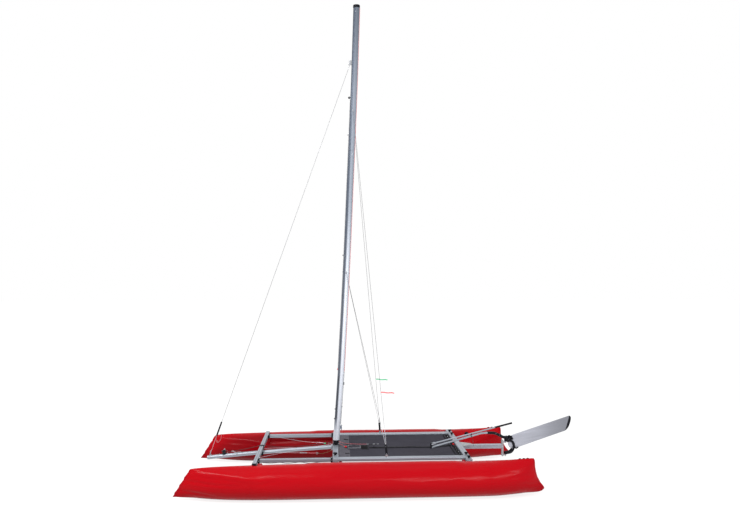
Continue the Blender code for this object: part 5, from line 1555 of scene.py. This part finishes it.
def rudder_head():
    """The C-shaped head: cheeks, blocks, knobs, lever and pins."""
    arc_x, arc_z, radius = -0.056, 0.367, 0.0795
    shape = Shape()
    for sign in (1, -1):
        y = sign * 0.0185
        turn = np.radians(np.linspace(90, 270, 40))
        path = [(-0.012, y, arc_z + radius)]
        path += [(arc_x + radius * cos(t), y, arc_z + radius * sin(t)) for t in turn]
        path += [(0.006, y, arc_z - radius)]
        shape.run(np.array(path), rounded(0.009, 0.032, 0.0026), 0, (0, 0, 1))
        for angle in (105, 250):
            t = radians(angle)
            place = (arc_x + radius * cos(t), sign * 0.0231, arc_z + radius * sin(t))
            shape.bolt(place, (0, sign, 0), 0.0030, 0)
        shape.turned([(0.013, 0), (0.0135, 0.003), (0.010, 0.006)], aim((-0.137, sign * 0.0231, 0.350), (0, sign, 0)), 28, paint=0)
    shape.block((-0.040, -0.020, 0.440), (0.006, 0.020, 0.512), 0.005, 0)
    shape.block((-0.014, -0.020, 0.2715), (0.006, 0.020, 0.2965), 0.003, 0)
    shape.block((-0.092, -0.012, 0.440), (-0.036, 0.012, 0.462), 0.003, 0)
    for sign in (1, -1):
        ear = [(0.028, 0), (0.030, 0.002), (0.030, 0.007), (0.028, 0.009)]
        shape.turned(ear, aim((-0.080, sign * 0.014, 0.482), (0, sign, 0)), 36)
    for x, z in ((-0.078, 0.502), (-0.098, 0.470)):
        shape.knob((x, 0.0228, z), 0.014, 0.0165, 0, 6, (0, 1, 0))
    for low, high in ((0.417, 0.460), (0.247, 0.290)):
        shape.turned([(0.005, low), (0.005, high)], None, 20, paint=1)
    shape.turned([(0.009, 0.4395), (0.0105, 0.4388), (0.0105, 0.4372), (0.008, 0.4368)][::-1], None, 24, paint=2)
    for low, high in ((0.2475, 0.2500),):
        shape.turned([(0.0085, low), (0.0085, high)], None, 24, paint=1)
    shape.hoop((0, 0, 0.2452), 0.007, 0.0011, (0, 0, 1), 1, 18, 6)
    shape.line([(-0.137, -0.0271, 0.350), (-0.137, 0.0225, 0.350)], 0.006, 1, 20)
    lever = [(-0.137, 0.029, 0.350), (-0.156, 0.030, 0.337), (-0.174, 0.030, 0.338), (-0.197, 0.029, 0.348)]
    shape.line(lever, 0.0085, 0, 14, 0.004)
    shape.turned([(0.011, -0.007), (0.0125, -0.005), (0.0125, 0.005), (0.010, 0.007)], aim((-0.137, 0.029, 0.350), (0, 1, 0)), 28)
    piece("rudder_head_casting", shape, (NYLON, STEEL, BLUE_NYLON), "steering", ("rudder_head",))


def tiller():
    """The bent arm and the tiller, with the clip and cord on it."""
    arm = Shape()
    points = [(0.0063, 0, 0.496), (0.030, 0, 0.500), (0.110, 0, 0.540), (0.188, 0, 0.572), (0.2988, 0, 0.588)]
    arm.line(points, 0.0185, 0, 28, 0.006)
    for at, z in ((0.110, 0.540), (0.170, 0.566)):
        for sign in (1, -1):
            arm.bolt((at, sign * 0.0162, z), (0, sign, 0), 0.0034, 1)
    piece("tiller_arm_tube", arm, (NYLON, STEEL), "steering", ("tiller_arm",))

    tube = Shape()
    line = [(0.2991, 0, 0.588), (0.340, 0, 0.5908), (0.385, 0, 0.5932), (0.415, 0, 0.5925), (0.470, 0, 0.586), (1.160, 0, 0.503)]
    tube.run(np.vstack([spline(line[:5], 0.008)[:-1], np.linspace(line[4], line[5], 24)]), circle(0.0125, 28), 0)
    piece("tiller_tube", tube, (ALU_TILLER,), "steering", ("tiller",))

    joint = Shape()
    joint.turned([(0.0130, 0), (0.0145, 0.0015), (0.0145, 0.0205)], aim((1.1617, 0, 0.5025), (1, 0, -0.02)), 32, paint=1)
    joint.turned([(0.0150, 0), (0.0155, 0.0015), (0.0155, 0.0095), (0.0130, 0.0125)], aim((1.1820, 0, 0.5022), (1, 0, 0)), 32)
    joint.block((1.166, -0.0125, 0.506), (1.192, 0.0125, 0.5198), 0.004)
    piece("tiller_end", joint, (NYLON, ALU_TILLER), "steering", ("tiller_joint",))

    clip = Shape()
    s, z = 0.565, 0.5745
    clip.hoop((s, 0, z), 0.0150, 0.0032, (0.993, 0, -0.12), 0, 24, 8)
    clip.block((s - 0.009, -0.008, z + 0.010), (s + 0.009, 0.008, z + 0.020), 0.003, 0)
    for sign in (-1, 1):
        clip.line([(s, sign * 0.006, z + 0.018), (s, sign * 0.014, z + 0.026), (s, sign * 0.011, z + 0.036)], 0.003, 0)
    tail = [(s - 0.002, 0.0155, z - 0.004), (s - 0.010, 0.019, z - 0.030), (s - 0.018, 0.018, z - 0.065),
            (s - 0.024, 0.016, z - 0.100), (s - 0.028, 0.014, z - 0.126)]
    clip.line(tail, 0.0022, 1, 8, 0.006)
    clip.turned([(0.002, -0.005), (0.0042, -0.002), (0.0042, 0.003), (0.002, 0.006)], aim(tail[-1]), 16, 4, 0.2, paint=1)
    piece("tiller_clip", clip, (NYLON, LINE_BLACK), "steering")


def extension():
    """Joint details, tube and grip of the tiller extension."""
    joint = Shape()
    for sign in (1, -1):
        joint.bolt((0, sign * 0.0205, 0), (0, sign, 0), 0.0034)
    piece("lift_pin_heads", joint, (STEEL,), "extension")
    tube = Shape()
    tube.run(np.linspace((-0.0553, 0, 0), (-1.0080, 0, 0), 30), circle(0.009, 28), 0)
    piece("extension_shaft", tube, (ALU_TILLER,), "extension", ("extension_tube",))
    grip = Shape()
    length = 1.298 - 1.0083
    profile = [(0.0095, 0), (0.0118, 0.003)]
    for k in range(36):
        at = 0.008 + k * (length - 0.016) / 36
        profile += [(0.0118, at), (0.0110, at + 0.0012), (0.0110, at + 0.0020), (0.0118, at + 0.0032)]
    profile += [(0.0125, length - 0.006), (0.0122, length - 0.001), (0.006, length)]
    grip.turned(profile, aim((-1.0083, 0, 0), (-1, 0, 0)), 28)
    piece("extension_handle", grip, (RUBBER,), "extension", ("extension_grip",))


BLADE_NOSE = (0.015, 0.070)
BLADE_CHORD, BLADE_THICK = 0.190, 0.018
BLADE_TOP_LENGTH, BLADE_LOW_LENGTH = 1.036, 0.925
TIP_BULGE = 0.053


def blade_rings(steps, swell=0.0, tip=False):
    """Rings along the blade, or along its tip, each going round the section."""
    half = BLADE_CHORD / 2
    across = np.linspace(-1, 1, 41)
    up = BLADE_NOSE[1] + half * across
    front = -BLADE_NOSE[0] + half * np.sqrt(np.maximum(1 - across**2, 0))
    share = (across + 1) / 2
    back = -BLADE_NOSE[0] - (BLADE_LOW_LENGTH + (BLADE_TOP_LENGTH - BLADE_LOW_LENGTH) * share)
    if tip:
        front = back - 0.0004
        back = front - TIP_BULGE * 1.15 * np.maximum(1 - np.abs(across) ** 3, 0.02) ** 0.65
    thick = BLADE_THICK / 2 * (1 - 0.70 * np.abs(across) ** 4) + swell
    groove = sum(np.exp(-(((across - at) / 0.018) ** 2)) for at in (-0.72, -0.36, 0.0, 0.36, 0.72))
    thick = thick - 0.0007 * groove
    rings = []
    for t in steps:
        x = front + (back - front) * t
        near = np.clip((x - back if tip else front - x) / 0.010, 0, 1)
        y = thick * np.maximum(np.sqrt(np.maximum(1 - (1 - near) ** 2, 0)), 0.04)
        top = np.stack([x, y, up], axis=1)
        low = np.stack([x, -y, up], axis=1)[::-1]
        rings.append(np.vstack([top, low]))
    return rings


def blade():
    """The rudder blade, an extruded profile with a round nose, and its end cap."""
    shape = Shape().skin(blade_rings(np.concatenate([np.linspace(0, 0.02, 10)[:-1], np.linspace(0.02, 1, 30)])))
    for sign in (1, -1):
        shape.turned([(0.016, 0), (0.016, 0.002), (0.010, 0.0026)], aim((0, sign * 0.0085, 0), (0, sign, 0)), 28, paint=1)
    piece("blade_profile", shape, (ALU_BLADE, NYLON), "blade", ("rudder_blade",), 50)
    cap = Shape().skin(blade_rings(np.linspace(0, 1, 14) ** 0.7, 0.0006, True))
    piece("blade_end_cap", cap, (NYLON,), "blade", ("blade_tip",))


rudder_fittings()
rudder_head()
tiller()
extension()
blade()


def studio():
    """Pale floor and soft light."""
    mesh = bpy.data.meshes.new("studio_floor")
    reach = 60
    mesh.from_pydata([(-reach, -reach, 0), (reach, -reach, 0), (reach, reach, 0), (-reach, reach, 0)], [], [(0, 1, 2, 3)])
    floor = bpy.data.objects.new("studio_floor", mesh)
    floor.location.z = -0.0005
    bpy.context.scene.collection.objects.link(floor)
    pale = Finish("pale floor", (0.22, 0.22, 0.22), 0.9, Specular_IOR_Level=0.0)
    pale.feed("Emission Color", (1, 1, 1))
    pale.feed("Emission Strength", 0.79)
    mesh.materials.append(pale.material)

    world = bpy.data.worlds.new("studio_world")
    world.use_nodes = True
    sky = world.node_tree.nodes["Background"]
    sky.inputs["Color"].default_value = (1, 1, 1, 1)
    sky.inputs["Strength"].default_value = 1.0
    bpy.context.scene.world = world
    for name, place, target, size, power in (
        ("overhead", (0.5, 1.0, 12.0), (0.5, 0, 0), (9, 6), 90),
        ("bow soft box", (4.9, 4.9, 7.4), (1.7, 0.9, 0.3), (5.5, 1.30), 540),
        ("stern strip", (-3.9, 8.5, 2.6), (-1.9, 0.9, 0.3), (7.0, 0.80), 300),
    ):
        data = bpy.data.lights.new(name, "AREA")
        data.shape = "RECTANGLE"
        data.size, data.size_y = size
        data.energy = power
        lamp = bpy.data.objects.new(name, data)
        way = Vector(place) - Vector(target)
        lamp.matrix_world = Matrix.Translation(place) @ way.to_track_quat("Z", "Y").to_matrix().to_4x4()
        bpy.context.scene.collection.objects.link(lamp)
    bpy.context.scene.view_settings.view_transform = "Standard"


studio()
